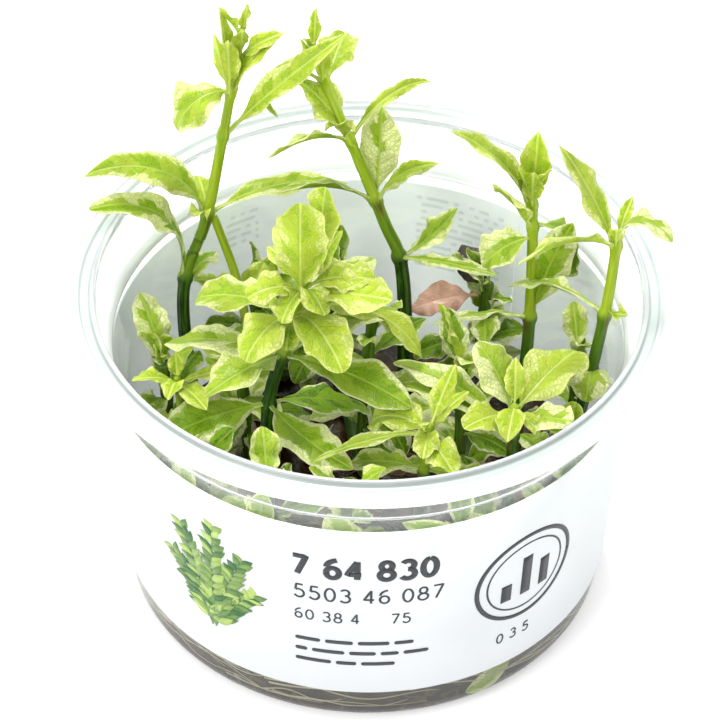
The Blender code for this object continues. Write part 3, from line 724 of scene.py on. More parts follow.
# %% [markdown]
# ## The label
# The film goes round the straight part of the wall and stops just short of
# itself at the seam. Seen from inside the cup it is a pale green grey; the light
# that comes through it and off the leaves is painted into its inner side's colour
# and glow. Its skin is a thin loop carried round the wall, and each point knows
# how far round it is, how high, and whether it faces inwards.

# %% Wrap the label
LABEL_HEIGHTS = np.linspace(8.7, 48.7, 9)
LABEL_GAP = 0.3
LABEL_THICKNESS = 0.25
LABEL_SHARP = 40
SEAM = (53.0, 0.2)
FRONT = -90.0


def on_wall(azimuth, z, off):
    """Points off mm outside the wall at azimuth (degrees) and height z."""
    r = wall_radius(z) + off
    a = np.radians(azimuth)
    return np.stack(np.broadcast_arrays(r * np.cos(a), r * np.sin(a), z), -1)


azimuths = np.linspace(SEAM[0] + SEAM[1] / 2, SEAM[0] - SEAM[1] / 2 + 360, 241)[:, None]
loop_z = np.concatenate([LABEL_HEIGHTS, LABEL_HEIGHTS[::-1]])
loop_off = np.repeat([LABEL_GAP + LABEL_THICKNESS, LABEL_GAP], len(LABEL_HEIGHTS))
label_rings = on_wall(azimuths, loop_z[None, :], loop_off[None, :])
facing_in = (loop_off == LABEL_GAP).astype(float)
label_blade = np.stack(np.broadcast_arrays(azimuths, loop_z, facing_in), 2)
label_skin = skin(label_rings, label_blade)
make_piece("label_film", [label_skin], [film], "label_wrap", sharp=LABEL_SHARP)
print("label runs over", round(float(np.ptp(azimuths)), 1), "degrees")

# %% [markdown]
# ## The print
# The print is plain: rows of figures and bars in the middle, a sprig of green
# leaflets at the left, and a ring with three bars at the right. Each mark is a
# stroke: a path on the label, in millimetres right of the front's middle and up,
# with a width at each point. A stroke is bent round the wall just proud of the
# film.

# %% Strokes on the wall
INK_THICKNESS = 0.04
INK_OFF = LABEL_GAP + LABEL_THICKNESS + 0.01
LABEL_RADIUS = wall_radius(28.0)


def stroke(path, width, slot=0, off=INK_OFF, tone=0.0):
    """A flat band on the wall: the path moved half a width to each side."""
    path = np.array(path, float)
    way = np.gradient(path, axis=0)
    way /= np.linalg.norm(way, axis=1)[:, None]
    across = np.stack([-way[:, 1], way[:, 0]], 1) * (np.broadcast_to(width, len(path)) / 2)[:, None]
    flat = np.stack([path + across, path - across, path - across, path + across], 1)
    depth = np.array([INK_THICKNESS, INK_THICKNESS, 0, 0]) + off
    rings = on_wall(FRONT + np.degrees(flat[:, :, 0] / LABEL_RADIUS), flat[:, :, 1], depth[None, :])
    return skin(rings, np.zeros(3), (tone, 0.0, 0.0), slot=slot)


def bar(x0, x1, z, tall, slot=0, off=INK_OFF):
    """A straight bar with rounded ends."""
    count = max(4, int((x1 - x0) / 1.2))
    x = np.concatenate([[x0, x0 + 0.12 * tall, x0 + 0.4 * tall], np.linspace(x0 + 0.5 * tall, x1 - 0.5 * tall, count),
                        [x1 - 0.4 * tall, x1 - 0.12 * tall, x1]])
    width = np.full(len(x), tall)
    width[[0, -1]] = 0.35 * tall
    width[[1, -2]] = 0.72 * tall
    return stroke(np.stack([x, np.full(len(x), z)], 1), width, slot, off, 0.3)


# %% Figures
def bow(cx, cy, rx, ry, start, end):
    """Points of an elliptic arc from start to end, in degrees."""
    a = np.radians(np.linspace(start, end, 17))
    return np.stack([cx + rx * np.cos(a), cy + ry * np.sin(a)], 1)


def legs(*corners):
    """Points along straight legs between corners."""
    corners = np.array(corners, float)
    t = np.linspace(0, len(corners) - 1, 8 * (len(corners) - 1) + 1)
    return np.stack([np.interp(t, np.arange(len(corners)), corners[:, k]) for k in range(2)], 1)


FIGURES = {
    "0": [bow(0.3, 0.5, 0.28, 0.5, 90, 450)],
    "3": [bow(0.28, 0.76, 0.24, 0.24, 150, -90), bow(0.28, 0.27, 0.28, 0.27, 90, -150)],
    "4": [legs((0.42, 1.0), (0.02, 0.28), (0.58, 0.28)), legs((0.42, 1.0), (0.42, 0.0))],
    "5": [legs((0.50, 1.0), (0.12, 1.0), (0.07, 0.56)), bow(0.27, 0.31, 0.29, 0.31, 130, -150)],
    "6": [bow(0.62, 0.62, 0.56, 0.42, 105, 180), bow(0.3, 0.29, 0.26, 0.29, 180, 540)],
    "7": [legs((0.02, 1.0), (0.56, 1.0), (0.18, 0.0))],
    "8": [bow(0.3, 0.76, 0.22, 0.24, -90, 270), bow(0.3, 0.26, 0.28, 0.26, 90, 450)],
}


def write_figures(text, x, z, tall, weight):
    """Strokes for a row of figures; a space leaves half a figure free."""
    made = []
    for sign in text:
        for path in FIGURES.get(sign, []):
            off = INK_OFF + 0.012 * (len(made) % 2)
            made.append(stroke(path * tall * [0.92, 1] + [x, z], weight, off=off))
        x += tall * (0.80 if sign != " " else 0.42)
    return made


print_skins = write_figures("7 64", -11.4, 37.4, 4.3, 1.05) + write_figures("830", 2.4, 37.4, 4.3, 1.05)
print_skins += write_figures("5503 46 087", -11.2, 31.6, 3.1, 0.40)
print_skins += write_figures("60 38 4", -11.2, 26.4, 2.3, 0.30) + write_figures("75", 4.6, 26.4, 2.3, 0.30)
BAR_ROWS = [
    (21.4, 0.85, ((-11.2, -7.0), (-6.2, -1.6), (-0.8, 4.4), (5.2, 8.4))),
    (18.8, 0.85, ((-11.2, -9.2), (-8.4, -3.0), (-2.2, 2.2), (3.0, 6.0), (6.8, 11.0))),
    (16.2, 0.85, ((-11.2, -5.2), (-4.4, -1.0), (-0.2, 5.4))),
]
for z, tall, spans in BAR_ROWS:
    print_skins += [bar(x0, x1, z, tall) for x0, x1 in spans]
print("marks in the middle:", len(print_skins))

# %% Ring and sprig
RING_CENTRE, RING_SIZE = (28.5, 29.5), 9.6
turns = np.linspace(0, 2 * pi, 73)
for size, thick in ((RING_SIZE, 0.85), (RING_SIZE - 1.9, 0.35)):
    print_skins.append(stroke(RING_CENTRE + size * np.stack([np.cos(turns), np.sin(turns)], 1), thick))
for dx, tall in ((-3.9, 4.0), (0.0, 9.0), (3.9, 6.4)):
    z = np.linspace(RING_CENTRE[1] - 4.6, RING_CENTRE[1] - 4.6 + tall, 8)
    print_skins.append(stroke(np.stack([np.full(8, RING_CENTRE[0] + dx), z], 1), 2.0))
print_skins += write_figures("0 3 5", 23.6, 14.6, 2.2, 0.32)


def leaflet(foot, angle, reach, width, tone, off):
    """A printed leaflet: a short path that bends a little, wide in the middle."""
    t = np.linspace(0, 1, 11)
    bend = np.radians(angle + 16 * t)
    way = np.stack([np.cos(bend), np.sin(bend)], 1) * reach / 10
    path = np.array(foot) + np.vstack([[0, 0], np.cumsum(way, 0)[:-1]])
    return stroke(path, 0.12 + width * np.sin(pi * t**0.8) ** 1.1, 1, off, tone)


draw = np.random.default_rng(8)
SPRIG_FOOT = np.array([-26.5, 15.5])
for lean, tall in ((-34, 16), (-17, 22), (2, 25), (19, 21), (36, 15)):
    t = np.linspace(0, 1, 16)
    head = np.radians(90 - lean * (0.5 + 0.8 * t))
    twig = SPRIG_FOOT + np.cumsum(np.stack([np.cos(head), np.sin(head)], 1) * tall / 16, 0)
    print_skins.append(stroke(twig, 0.35, 1, INK_OFF, 0.25))
    layer = INK_OFF
    for k in range(15, 1, -1):
        for way in (1, -1):
            layer += 0.008
            angle = np.degrees(head[k]) + way * draw.uniform(32, 62)
            reach = (4.6 - 0.12 * k) * draw.uniform(0.75, 1.1)
            width, tone = draw.uniform(1.1, 1.7), draw.uniform(0, 1) ** 1.4
            print_skins.append(leaflet(twig[k], angle, reach, width, tone, layer))
make_piece("label_print", print_skins, [grey_ink, green_ink])
print("marks on the label:", len(print_skins))

# %% [markdown]
# ## Stems
# A stem is a tube along a smooth curve. The curve and the radii are those of the
# construction. The real stem is a little square, swells at each node and has a
# thin collar there, so the radius is the plain one times a four-lobed wave times
# a bell-shaped swelling about each node.

# %% Stem tables
STEMS = {
    "stem_left_tall": dict(
        radii=(1.25, 0.7), nodes=(44, 56, 71, 78.5), sides=(0.95, 0.34, 0.02, 0.0, 0.0),
        route=((-30.5, 17.5, 11.4), (-32.6, 21.5, 40), (-28.4, 25, 55), (-25.4, 28.5, 71), (-22.8, 33, 86),
               (-22.4, 34, 89))),
    "stem_back_centre": dict(
        radii=(1.5, 0.7), nodes=(46.5, 58.5, 70, 77.5), sides=(1.0, 0.32, 0.02, 0.0, 0.0),
        route=((7, 22, 11.4), (5.8, 25.5, 42), (2.2, 26.5, 54), (-4.6, 29.5, 71.5), (-9.2, 36.5, 79.5),
               (-10.8, 38.5, 83))),
    "stem_front_rosette": dict(
        radii=(1.4, 0.8), nodes=(43, 53, 61, 65.5), sides=(1.0, 0.85, 0.05, 0.0, 0.0),
        route=((-17, -7, 11.4), (-16.6, -8.5, 42), (-13.6, -7, 55), (-11, -5.5, 66), (-10.6, -5, 68))),
    "stem_right_back": dict(
        radii=(1.2, 0.8), nodes=(45, 64, 68.5), sides=(0.55, 0.02, 0.0, 0.0),
        route=((26, 10, 11.4), (27.6, 12, 40), (27.4, 14, 62), (26.8, 15, 71))),
    "stem_right_edge": dict(
        radii=(1.3, 0.8), nodes=(45.5, 57, 69.5), sides=(0.95, 0.45, 0.0, 0.0),
        route=((31, -4, 11.4), (36.3, -2.5, 37), (39.4, 0, 57), (40.6, 3, 69), (40.6, 3.2, 72))),
    "stem_front_right": dict(
        radii=(1.2, 0.8), nodes=(48, 53), sides=(0.8, 0.3, 0.1),
        route=((23, -17, 11.4), (24, -19.5, 38), (24, -20.5, 53), (24, -21, 55))),
    "stem_front_centre": dict(
        radii=(1.1, 0.7), nodes=(41, 50), sides=(0.6, 0.15, 0.0),
        route=((8, -18, 11.4), (9.4, -21.5, 38), (10.2, -22.5, 50), (10.3, -22.5, 52))),
    "stem_left_small": dict(
        radii=(1.0, 0.6), nodes=(34, 45), sides=(0.7, 0.2, 0.0),
        route=((-28, -5, 11.4), (-31, -6, 34), (-32, -6.5, 46.5))),
}
NODE_SWELL = 0.32
NODE_LENGTH = 1.1
NODE_WAIST = 0.10
NODE_COLLAR = 0.06
STEM_POINTS = 20


# %% Sweep the stems
def smooth_route(points, count):
    """A Catmull-Rom curve through the points, as count rows of x, y, z."""
    p = np.array(points, float)
    p = np.vstack([2 * p[0] - p[1], p, 2 * p[-1] - p[-2]])
    spans = len(p) - 3
    u = np.linspace(0, spans, count)
    i = np.minimum(u.astype(int), spans - 1)
    t = (u - i)[:, None]
    a, b, c, d = p[i], p[i + 1], p[i + 2], p[i + 3]
    return 0.5 * (2 * b + (c - a) * t + (2 * a - 5 * b + 4 * c - d) * t**2 + (3 * b - a - 3 * c + d) * t**3)


def tube_rings(line, radius, count):
    """Rings square to a line. radius is (rings,) or (rings, points), in mm."""
    way = np.gradient(line, axis=0)
    way /= np.linalg.norm(way, axis=1)[:, None]
    steep = np.abs(way[:, 2]) > 0.9
    guide = np.where(steep[:, None], [1.0, 0.0, 0.0], [0.0, 0.0, 1.0])
    across = np.cross(way, guide)
    across /= np.linalg.norm(across, axis=1)[:, None]
    other = np.cross(way, across)
    a = np.linspace(0, 2 * pi, count, endpoint=False)
    radius = radius[:, None, None] if radius.ndim == 1 else radius[..., None]
    return line[:, None] + radius * (np.cos(a)[:, None] * across[:, None] + np.sin(a)[:, None] * other[:, None])


def stem_place(name, height):
    """The stem's middle point and plain radius at a height, in mm."""
    spec = STEMS[name]
    line = smooth_route(spec["route"], 121)
    middle = np.array([np.interp(height, line[:, 2], line[:, k]) for k in range(3)])
    share = (height - line[0, 2]) / (line[-1, 2] - line[0, 2])
    return middle, spec["radii"][0] + share * (spec["radii"][1] - spec["radii"][0])


def bark(heights, count):
    """A stem's own coordinates: height up it, and the place round it in mm."""
    a = np.linspace(0, 2 * pi, count, endpoint=False)
    return np.stack(np.broadcast_arrays(heights[:, None], 1.4 * np.cos(a), 1.4 * np.sin(a)), 2)


def bells(gaps, below, width):
    """Sum of bell curves of this width, each this far below a node, in mm."""
    return np.exp(-((gaps + below) / width) ** 2).sum(1)


def stem_skin(name):
    """The stem's tube, with its colours by height.

    Radius: the plain radius, times 1 + 0.05 cos 4a for the square section,
    times 1 plus a bell of NODE_LENGTH about each node, with a slight waist
    above it and a thin collar below it.
    """
    spec = STEMS[name]
    foot, tip = spec["route"][0][2], spec["route"][-1][2]
    line = smooth_route(spec["route"], 260)
    heights = np.concatenate([np.arange(foot - 2.0, tip, 0.45), [tip, tip + 0.25]])
    middle = np.stack([np.interp(heights, line[:, 2], line[:, k]) for k in range(2)] + [heights], 1)
    share = np.clip((heights - foot) / (tip - foot), 0, 1)
    plain = spec["radii"][0] + share * (spec["radii"][1] - spec["radii"][0])
    gaps = heights[:, None] - np.array(spec["nodes"])
    bell = NODE_SWELL * bells(gaps, 0.25, NODE_LENGTH) - NODE_WAIST * bells(gaps, -1.1, 0.5)
    collar = NODE_COLLAR * bells(gaps, 0.9, 0.22)
    a = np.linspace(0, 2 * pi, STEM_POINTS, endpoint=False)
    radius = (plain * (1 + bell + collar))[:, None] * (1 + 0.05 * np.cos(4 * a))
    radius[-1] *= 0.4
    rings = tube_rings(middle, radius, STEM_POINTS)
    level = (1 / (1 + np.exp(-gaps / 0.35))).sum(1)
    dark = np.interp(level, np.arange(len(spec["sides"])), spec["sides"])
    brown = np.clip(bells(gaps, 1.6, 1.6), 0, 1) * (dark < 0.8) * (dark > 0.08)
    tint = np.stack([np.clip(1 - 2.2 * dark, 0, 1), brown, np.clip(dark * 1.3 - 0.2, 0, 1)], 1)
    return skin(rings, bark(heights, STEM_POINTS), tint[:, None, :])


print("stems:", len(STEMS))

# %% [markdown]
# ## Leaves
# A leaf is a surface of two numbers: s runs from foot to tip, c runs from margin
# to margin. The midrib arches over and turns as s grows. The half width is a
# sine pulled towards the foot. On top of that come a fold along the rib, a wave
# in each margin, low pillows between the side veins, and small teeth. The upper
# and lower sides meet at the margins, so the leaf is a closed skin.

# %% The leaf function
LEAF_STEPS = 64
PETIOLE_SHARE = 0.07
PETIOLE_HALF_WIDTH = 0.45
BLADE_THICKNESS = 0.20
RIB_THICKNESS = 0.34
RIB_WIDTH = 0.42
RIB_DIP = 0.16
PILLOW_HEIGHT = 0.20
TOOTH_SPACING = 1.5


def leaf_frame(base, heading, rise, arch, turn_by, length, s):
    """Midrib points with their side and upward directions at each s.

    The direction climbs at (rise - arch * s) and heads for
    (heading + turn_by * s); the midrib is the sum of many short steps that way.
    """
    steps = 96
    t = (np.arange(steps) + 0.5) / steps
    climb, head = np.radians(rise - arch * t), np.radians(heading + turn_by * t)
    along = np.stack([np.cos(climb) * np.cos(head), np.cos(climb) * np.sin(head), np.sin(climb)], 1)
    line = np.vstack([base, base + np.cumsum(along, 0) * length / steps])
    at = np.linspace(0, 1, steps + 1)
    mid = np.stack([np.interp(s, at, line[:, k]) for k in range(3)], 1)
    climb, head = np.radians(rise - arch * s), np.radians(heading + turn_by * s)
    side = np.stack([-np.sin(head), np.cos(head), 0 * s], 1)
    over = np.stack([-np.sin(climb) * np.cos(head), -np.sin(climb) * np.sin(head), np.cos(climb)], 1)
    return mid, side, over


def leaf_skin(base, row, look, seed, steps=LEAF_STEPS, across=15, slot=1):
    """A leaf. row is the construction's; look says how it is finished:
    young, cream, dark, mottle, fold (degrees), wave (mm), teeth (mm), bluntness.

    Half width = half the leaf's width * sin(pi * s ** p) ** q, where a blunt
    leaf has a larger p, so it is widest farther out, and a smaller q.
    """
    heading, rise, arch, turn_by, length, width, roll = row
    young, cream, dark, mottle, fold, wave, teeth, blunt = look
    width = width * (0.88 + 0.16 * blunt)
    draw = np.random.default_rng(int(seed * 17) + 5)
    t = np.linspace(0, 1, steps)
    s = 0.6 * t + 0.4 * (1 - np.cos(pi * t)) / 2
    mid, side, over = leaf_frame(base, heading, rise, arch, turn_by, length, s)
    lean = np.radians(roll + draw.uniform(-16, 16) * s)[:, None]
    side, over = side * np.cos(lean) + over * np.sin(lean), over * np.cos(lean) - side * np.sin(lean)
    blade_s = np.clip((s - PETIOLE_SHARE) / (1 - PETIOLE_SHARE), 0, 1)
    half = 0.5 * width * np.sin(pi * blade_s ** (0.80 + 0.40 * blunt)) ** (1.05 - 0.52 * blunt)
    half = half * (1 - 0.45 * np.exp(-((blade_s / 0.15) ** 2)))
    saw = np.abs((s * length / TOOTH_SPACING) % 1 - 0.35) / 0.65
    half = half - teeth * saw * np.sin(pi * blade_s)
    half = np.maximum(half, PETIOLE_HALF_WIDTH * (1 - s) * min(1.0, length / 14))
    half = np.maximum(half, 0.03)[:, None]
    c = np.sin(0.5 * pi * np.linspace(-1, 1, across))
    c = np.concatenate([c, c[-2:0:-1]])
    upper = np.concatenate([np.ones(across), -np.ones(across - 2)])
    ripple, phases = draw.uniform(1.3, 2.4, 4), draw.uniform(0, 2 * pi, 4)
    ripple[2:] *= 2.3
    swing = [np.sin(2 * pi * r * s + p)[:, None] for r, p in zip(ripple, phases)]
    outline = 1 + 0.05 * np.where(c < 0, swing[2], swing[3])
    w = c * half * outline
    x = (s * length)[:, None] + 0 * w
    sweep = VEIN_SWEEP * np.abs(w) + VEIN_BEND * w**2
    pillow = np.abs(np.sin(pi * (x - sweep) / VEIN_SPACING)) ** 0.7
    pillow = pillow * (1 - np.abs(c) ** 3) * np.minimum(1, np.abs(w) / 1.2)
    taper = np.sin(pi * blade_s)[:, None] ** 0.6
    swings = np.where(c < 0, swing[0], swing[1]) + 0.35 * np.where(c < 0, swing[3], swing[2])
    wavy = wave * np.abs(c) ** 2 * taper * swings
    folded = radians(fold) * (1 - 0.5 * s[:, None])
    lift_up = np.abs(w) * np.sin(folded) + wavy + PILLOW_HEIGHT * pillow * taper
    lift_up = lift_up + draw.uniform(-0.12, 0.05) * width * c**4 * taper
    rib = np.exp(-((w / RIB_WIDTH) ** 2))
    lift_up = lift_up - RIB_DIP * rib * taper
    body = BLADE_THICKNESS + (RIB_THICKNESS + 0.5 * np.exp(-((s / 0.07) ** 2))[:, None]) * rib
    body = body * (1 - c**6) * np.minimum(1, (1 - s)[:, None] * 12 + 0.15) * min(1.0, 0.5 + length / 30)
    shift = np.where(upper > 0, 0.35, -0.65) * body
    spread = w * np.cos(folded)
    rings = mid[:, None] + side[:, None] * spread[..., None] + over[:, None] * (lift_up + shift)[..., None]
    blade = np.stack([x, w, np.abs(c) + 0 * w], 2)
    return skin(rings, blade, (young, cream, dark), seed, slot, mottle)


test = leaf_skin(np.zeros(3), (0, 30, 40, 0, 20, 8, 0), (1, 0.5, 0, 0, 15, 0.4, 0, 0), 1.0)
print("a leaf has", len(test["quads"]), "quads")

# %% [markdown]
# ## How each leaf is finished
# Leaves near a shoot's tip are young: lime, soft and wavy. Lower ones are green
# with clear cream margins, and the oldest are dark. A few leaves are nearly all
# cream. The looks are named, so each leaf's row can point to one.

# %% Named looks
LOOKS = {
    "tip": (1.0, 0.30, 0.0, 0.5, 24, 0.40, 0.00, 0.4),
    "lime": (0.88, 0.42, 0.0, 0.9, 18, 1.10, 0.05, 1.0),
    "lime_long": (0.72, 0.36, 0.0, 0.6, 20, 0.55, 0.24, 0.1),
    "fresh": (0.45, 0.42, 0.0, 1.0, 14, 1.00, 0.05, 0.95),
    "fresh_long": (0.42, 0.42, 0.0, 0.6, 18, 0.55, 0.22, 0.2),
    "green": (0.12, 0.42, 0.25, 0.8, 12, 0.75, 0.04, 0.9),
    "green_long": (0.18, 0.50, 0.15, 0.4, 14, 0.60, 0.08, 0.6),
    "deep": (0.0, 0.36, 0.80, 0.8, 10, 0.65, 0.04, 0.8),
    "cream": (0.25, 0.98, 0.1, 0.5, 8, 0.55, 0.05, 0.7),
    "half_cream": (0.25, 0.68, 0.15, 0.6, 12, 0.80, 0.05, 0.85),
}

# %% [markdown]
# ## The leaf tables
# Each row gives the height on the stem, the heading, the rise of the foot, how
# far the leaf arches over, how far it turns aside, its length, width and roll,
# and then its look. The places and curves are the construction's own.

# %% Separate leaves
LEAVES = {
    "stem_left_tall": {
        "leaf_left_tall_serrate": ((56, 191, 80, 100, 6, 27, 8.5, -22), "fresh_long"),
        "leaf_left_tall_right": ((56, 22, 24, 52, 0, 26, 7, 0), "fresh_long"),
        "leaf_left_tall_curling": ((44, 206, 105, 106, 0, 31, 6, -28), "half_cream"),
        "leaf_left_tall_long": ((71, 6, 50, 14, 5, 29, 6.4, 25), "lime_long"),
        "leaf_left_tall_drooping": ((78.5, 215, 34, 118, -10, 13, 9, -14), "fresh"),
        "leaf_left_tall_upright": ((78.5, 352, 78, 40, -4, 14, 5, 20), "tip"),
    },
    "stem_back_centre": {
        "leaf_back_centre_drooping": ((77.5, 165, 42, 182, -10, 20, 7, 0), "lime_long"),
        "leaf_back_centre_thin_left": ((70, 218, 44, 60, 2, 18, 3.4, 30), "fresh_long"),
        "leaf_back_centre_thin_right": ((70, 48, 40, 72, -6, 21, 3.2, 30), "lime_long"),
        "leaf_back_centre_cream": ((58.5, 70, 80, -6, 0, 18, 7.5, 0), "cream"),
        "leaf_back_centre_right": ((58.5, 338, 70, 46, -6, 17, 4, 40), "fresh_long"),
        "leaf_back_centre_left": ((58.5, 205, 50, 56, 0, 20, 5, 20), "fresh_long"),
        "leaf_back_centre_low_right": ((46.5, 0, 40, -20, 4, 14, 6, 10), "green_long"),
        "leaf_back_centre_low_thin": ((46.5, 318, 30, 30, 20, 20, 3.4, 20), "green_long"),
    },
    "stem_front_rosette": {
        "leaf_rosette_upright_left": ((65.5, 262, 84, -8, 0, 20, 9, 0), "lime"),
        "leaf_rosette_upright_right": ((65.5, 42, 70, -14, 0, 20, 8, 0), "lime"),
        "leaf_rosette_right_back": ((61, 40, 36, 50, 0, 17, 8.5, 0), "half_cream"),
        "leaf_rosette_right": ((65.5, 335, 24, 20, 5, 16, 8, 0), "lime"),
        "leaf_rosette_left": ((61, 155, 12, 50, 0, 19, 8, 0), "fresh"),
        "leaf_rosette_front_left": ((61, 228, 34, 90, 6, 13, 8.5, 0), "lime"),
        "leaf_rosette_front": ((61, 300, 42, 84, 0, 17, 8, 0), "lime"),
        "leaf_rosette_low_left": ((53, 166, 12, 44, -5, 21, 7.5, 0), "half_cream"),
        "leaf_rosette_low_front": ((53, 232, 30, 50, -15, 17, 8.5, 0), "fresh"),
        "leaf_rosette_low_right": ((53, 330, 16, 34, 2, 24, 8, 0), "green"),
        "leaf_rosette_right_low": ((53, 20, 34, 34, -10, 20, 8, 0), "half_cream"),
        "leaf_rosette_foot_left": ((43, 205, 9, 38, -12, 19, 9, -22), "green"),
        "leaf_rosette_foot_front": ((43, 292, 16, 14, 30, 24, 8, 0), "green_long"),
    },
    "stem_right_back": {
        "leaf_right_back_long": ((68.5, 187, 70, 40, 0, 22, 6.5, -16), "lime_long"),
        "leaf_right_back_broad": ((64, 225, 66, 20, 0, 18, 6.5, 0), "lime_long"),
        "leaf_right_back_upright": ((68.5, 75, 86, 0, 0, 14, 6, 0), "tip"),
        "leaf_right_back_hanging": ((64, 15, -10, 112, 0, 16, 8, 0), "green"),
        "leaf_right_back_low": ((45, 200, 30, 40, 0, 18, 4, 20), "green_long"),
    },
    "stem_right_edge": {
        "leaf_right_edge_long": ((69.5, 185, 72, 14, 0, 24, 6.4, -42), "lime_long"),
        "leaf_right_edge_bent": ((69.5, 330, 108, 160, 0, 15, 6, 0), "half_cream"),
        "leaf_right_edge_left": ((69.5, 212, 44, 56, 8, 22, 5.5, 30), "lime_long"),
        "leaf_right_edge_thin": ((57, 146, 24, 72, 0, 20, 4, 20), "half_cream"),
        "leaf_right_edge_low": ((45.5, 262, 56, 84, 0, 11, 7.5, 0), "half_cream"),
    },
    "stem_front_right": {
        "leaf_front_right_broad": ((53, 52, 24, 44, 4, 18, 10, 0), "lime"),
        "leaf_front_right_upright": ((53, 130, 64, 40, 0, 13, 7.5, 0), "half_cream"),
        "leaf_front_right_side": ((53, 322, 30, 10, 0, 12, 7, 0), "half_cream"),
        "leaf_front_right_left": ((53, 224, 40, 40, 0, 12, 6, 0), "lime"),
        "leaf_front_right_long": ((48, 162, 40, 54, 0, 21, 7, 0), "green_long"),
    },
}

# %% [markdown]
# ## Tip leaves
# The smallest leaves at a shoot's tip are still one with their stem, so they go
# into the stem's mesh. Their feet start inside the stem, as the real ones do.

# %% Tip leaves and stems
TIP_LEAVES = {
    "stem_left_tall": (((56, 105, 40, 52, 0, 8, 4.5, 0), "lime"), ((84, 335, 54, 20, 0, 12, 4, 30), "tip"),
                       ((79, 150, 84, 0, 0, 16, 4, 0), "tip"), ((88.5, 213, 66, 12, 0, 8, 3, 0), "tip"),
                       ((88, 40, 76, 0, 0, 6, 2.5, 0), "tip")),
    "stem_back_centre": (((77.5, 75, 34, 46, 0, 12, 6.5, 0), "lime"), ((82, 66, 84, 0, 0, 8, 2.8, 0), "tip"),
                         ((70, 150, 60, 40, 0, 13, 7, 0), "lime"), ((82, 250, 60, 10, 0, 6, 2.5, 0), "tip")),
    "stem_front_rosette": (((67, 135, 36, 40, 0, 9, 5, 0), "tip"), ((43, 10, 10, 50, 0, 18, 7.5, 0), "deep")),
    "stem_right_back": (((61.5, 200, 4, 60, 0, 10, 7, -20), "half_cream"), ((70.5, 320, 70, 10, 0, 8, 3, 0), "tip")),
    "stem_right_edge": (((71, 60, 60, 20, 0, 7, 2.6, 0), "tip"), ((57, 330, 30, 20, 0, 4, 2.4, 0), "lime")),
    "stem_front_right": (((54.5, 262, 34, 50, 0, 10, 5.5, 0), "tip"), ((54.5, 90, 60, 20, 0, 8, 4, 0), "tip")),
    "stem_front_centre": (((50, 150, 30, 90, 0, 12, 8, 0), "lime"), ((50, 284, 20, 20, 10, 12, 5.5, 0), "lime"),
                          ((51.5, 62, 50, 20, 0, 11, 4.5, 0), "tip"), ((51.5, 230, 60, 30, 0, 6, 3, 0), "tip"),
                          ((41, 350, 10, 40, 0, 12, 6, 0), "fresh"), ((41, 165, 10, 40, 0, 13, 6, 0), "half_cream")),
    "stem_left_small": (((45, 205, 50, 50, 0, 9, 4.5, 0), "tip"), ((45, 350, 40, 30, 0, 11, 4.5, 0), "tip"),
                        ((45, 300, 30, 30, 0, 11, 5, 0), "tip"), ((46, 100, 76, 10, 0, 5, 3, 0), "tip"),
                        ((34, 160, 20, 50, 0, 8, 5, 0), "lime"), ((34, 290, 10, 40, 0, 9, 5, 0), "lime")),
}


def leaf_foot(middle, radius, heading, clearance):
    """A leaf's foot: clearance mm outside the stem's skin, or inside it."""
    head = radians(heading)
    return middle + (radius + clearance) * np.array([cos(head), sin(head), 0.0])


# Leaves of the photographed plant that are too small or too close to their
# neighbours for the construction. Feet are places in mm.
SMALL_LEAVES = {
    "stem_left_tall": (((-24.2, 29.4, 79.0), (262, 87, 4, 0, 12, 4.2, 0), "tip"),
                       ((-24.4, 30.0, 78.6), (190, 80, 0, 0, 13, 3.6, 50), "tip"),
                       ((-22.6, 32.2, 84.0), (300, 84, 4, 0, 7, 3.6, 0), "tip"),
                       ((-28.8, 24.6, 55.6), (250, 70, 60, 0, 6, 3.4, 0), "lime")),
    "stem_back_centre": (((-8.6, 34.8, 77.4), (270, 70, -10, 0, 9, 3.6, 0), "tip"),
                         ((-9.6, 36.4, 79.0), (200, 72, 10, 0, 8, 3.2, 40), "tip"),
                         ((-4.8, 29.0, 70.6), (255, 66, 30, 0, 8, 5.0, 0), "lime")),
    "stem_front_rosette": (((-11.2, -6.0, 65.8), (196, 42, 70, 10, 10, 6.0, 0), "lime"),
                           ((-11.0, -6.4, 66.0), (246, 40, 90, 0, 8.5, 5.5, 10), "lime"),
                           ((-10.6, -6.2, 66.2), (296, 50, 90, 0, 8.5, 5.5, -10), "lime"),
                           ((-10.2, -5.2, 66.4), (350, 40, 60, 12, 12, 6.0, 15), "lime"),
                           ((-10.4, -4.8, 66.6), (30, 62, 20, 0, 11, 5.0, 20), "tip"),
                           ((-11.0, -5.0, 67.0), (150, 66, 30, 0, 8, 4.0, 0), "tip"),
                           ((-12.0, -6.6, 61.6), (2, 32, 96, -26, 25, 5.6, 0), "lime"),
                           ((-12.4, -6.4, 60.8), (262, 30, 80, 0, 8, 4.5, 0), "lime")),
    "stem_right_back": (((27.9, 12.4, 45.6), (5, 80, 14, 0, 21, 7.6, 62), "green_long"),
                        ((27.0, 14.0, 68.6), (262, 82, 0, 0, 8, 4.2, 0), "tip"),
                        ((27.0, 14.2, 69.0), (200, 76, 10, 0, 9, 3.4, 40), "tip")),
    "stem_right_edge": (((40.5, 2.6, 70.0), (262, 70, 10, 0, 6, 3.0, 0), "tip"),),
    "stem_front_right": (((22.6, -19.4, 49.6), (152, 36, 50, 0, 22, 6.4, 0), "green_long"),
                         ((24.6, -21.6, 53.6), (300, 44, 70, 0, 7, 4.0, 0), "tip")),
    "stem_front_centre": (((10.2, -23.0, 50.6), (262, 40, 60, 0, 8, 4.5, 0), "lime"),
                          ((10.6, -22.0, 50.8), (20, 60, 30, 0, 9, 4.0, 0), "tip")),
    "stem_left_small": (((-32.0, -6.6, 45.4), (262, 50, 60, 0, 8, 4.0, 0), "tip"),),
}

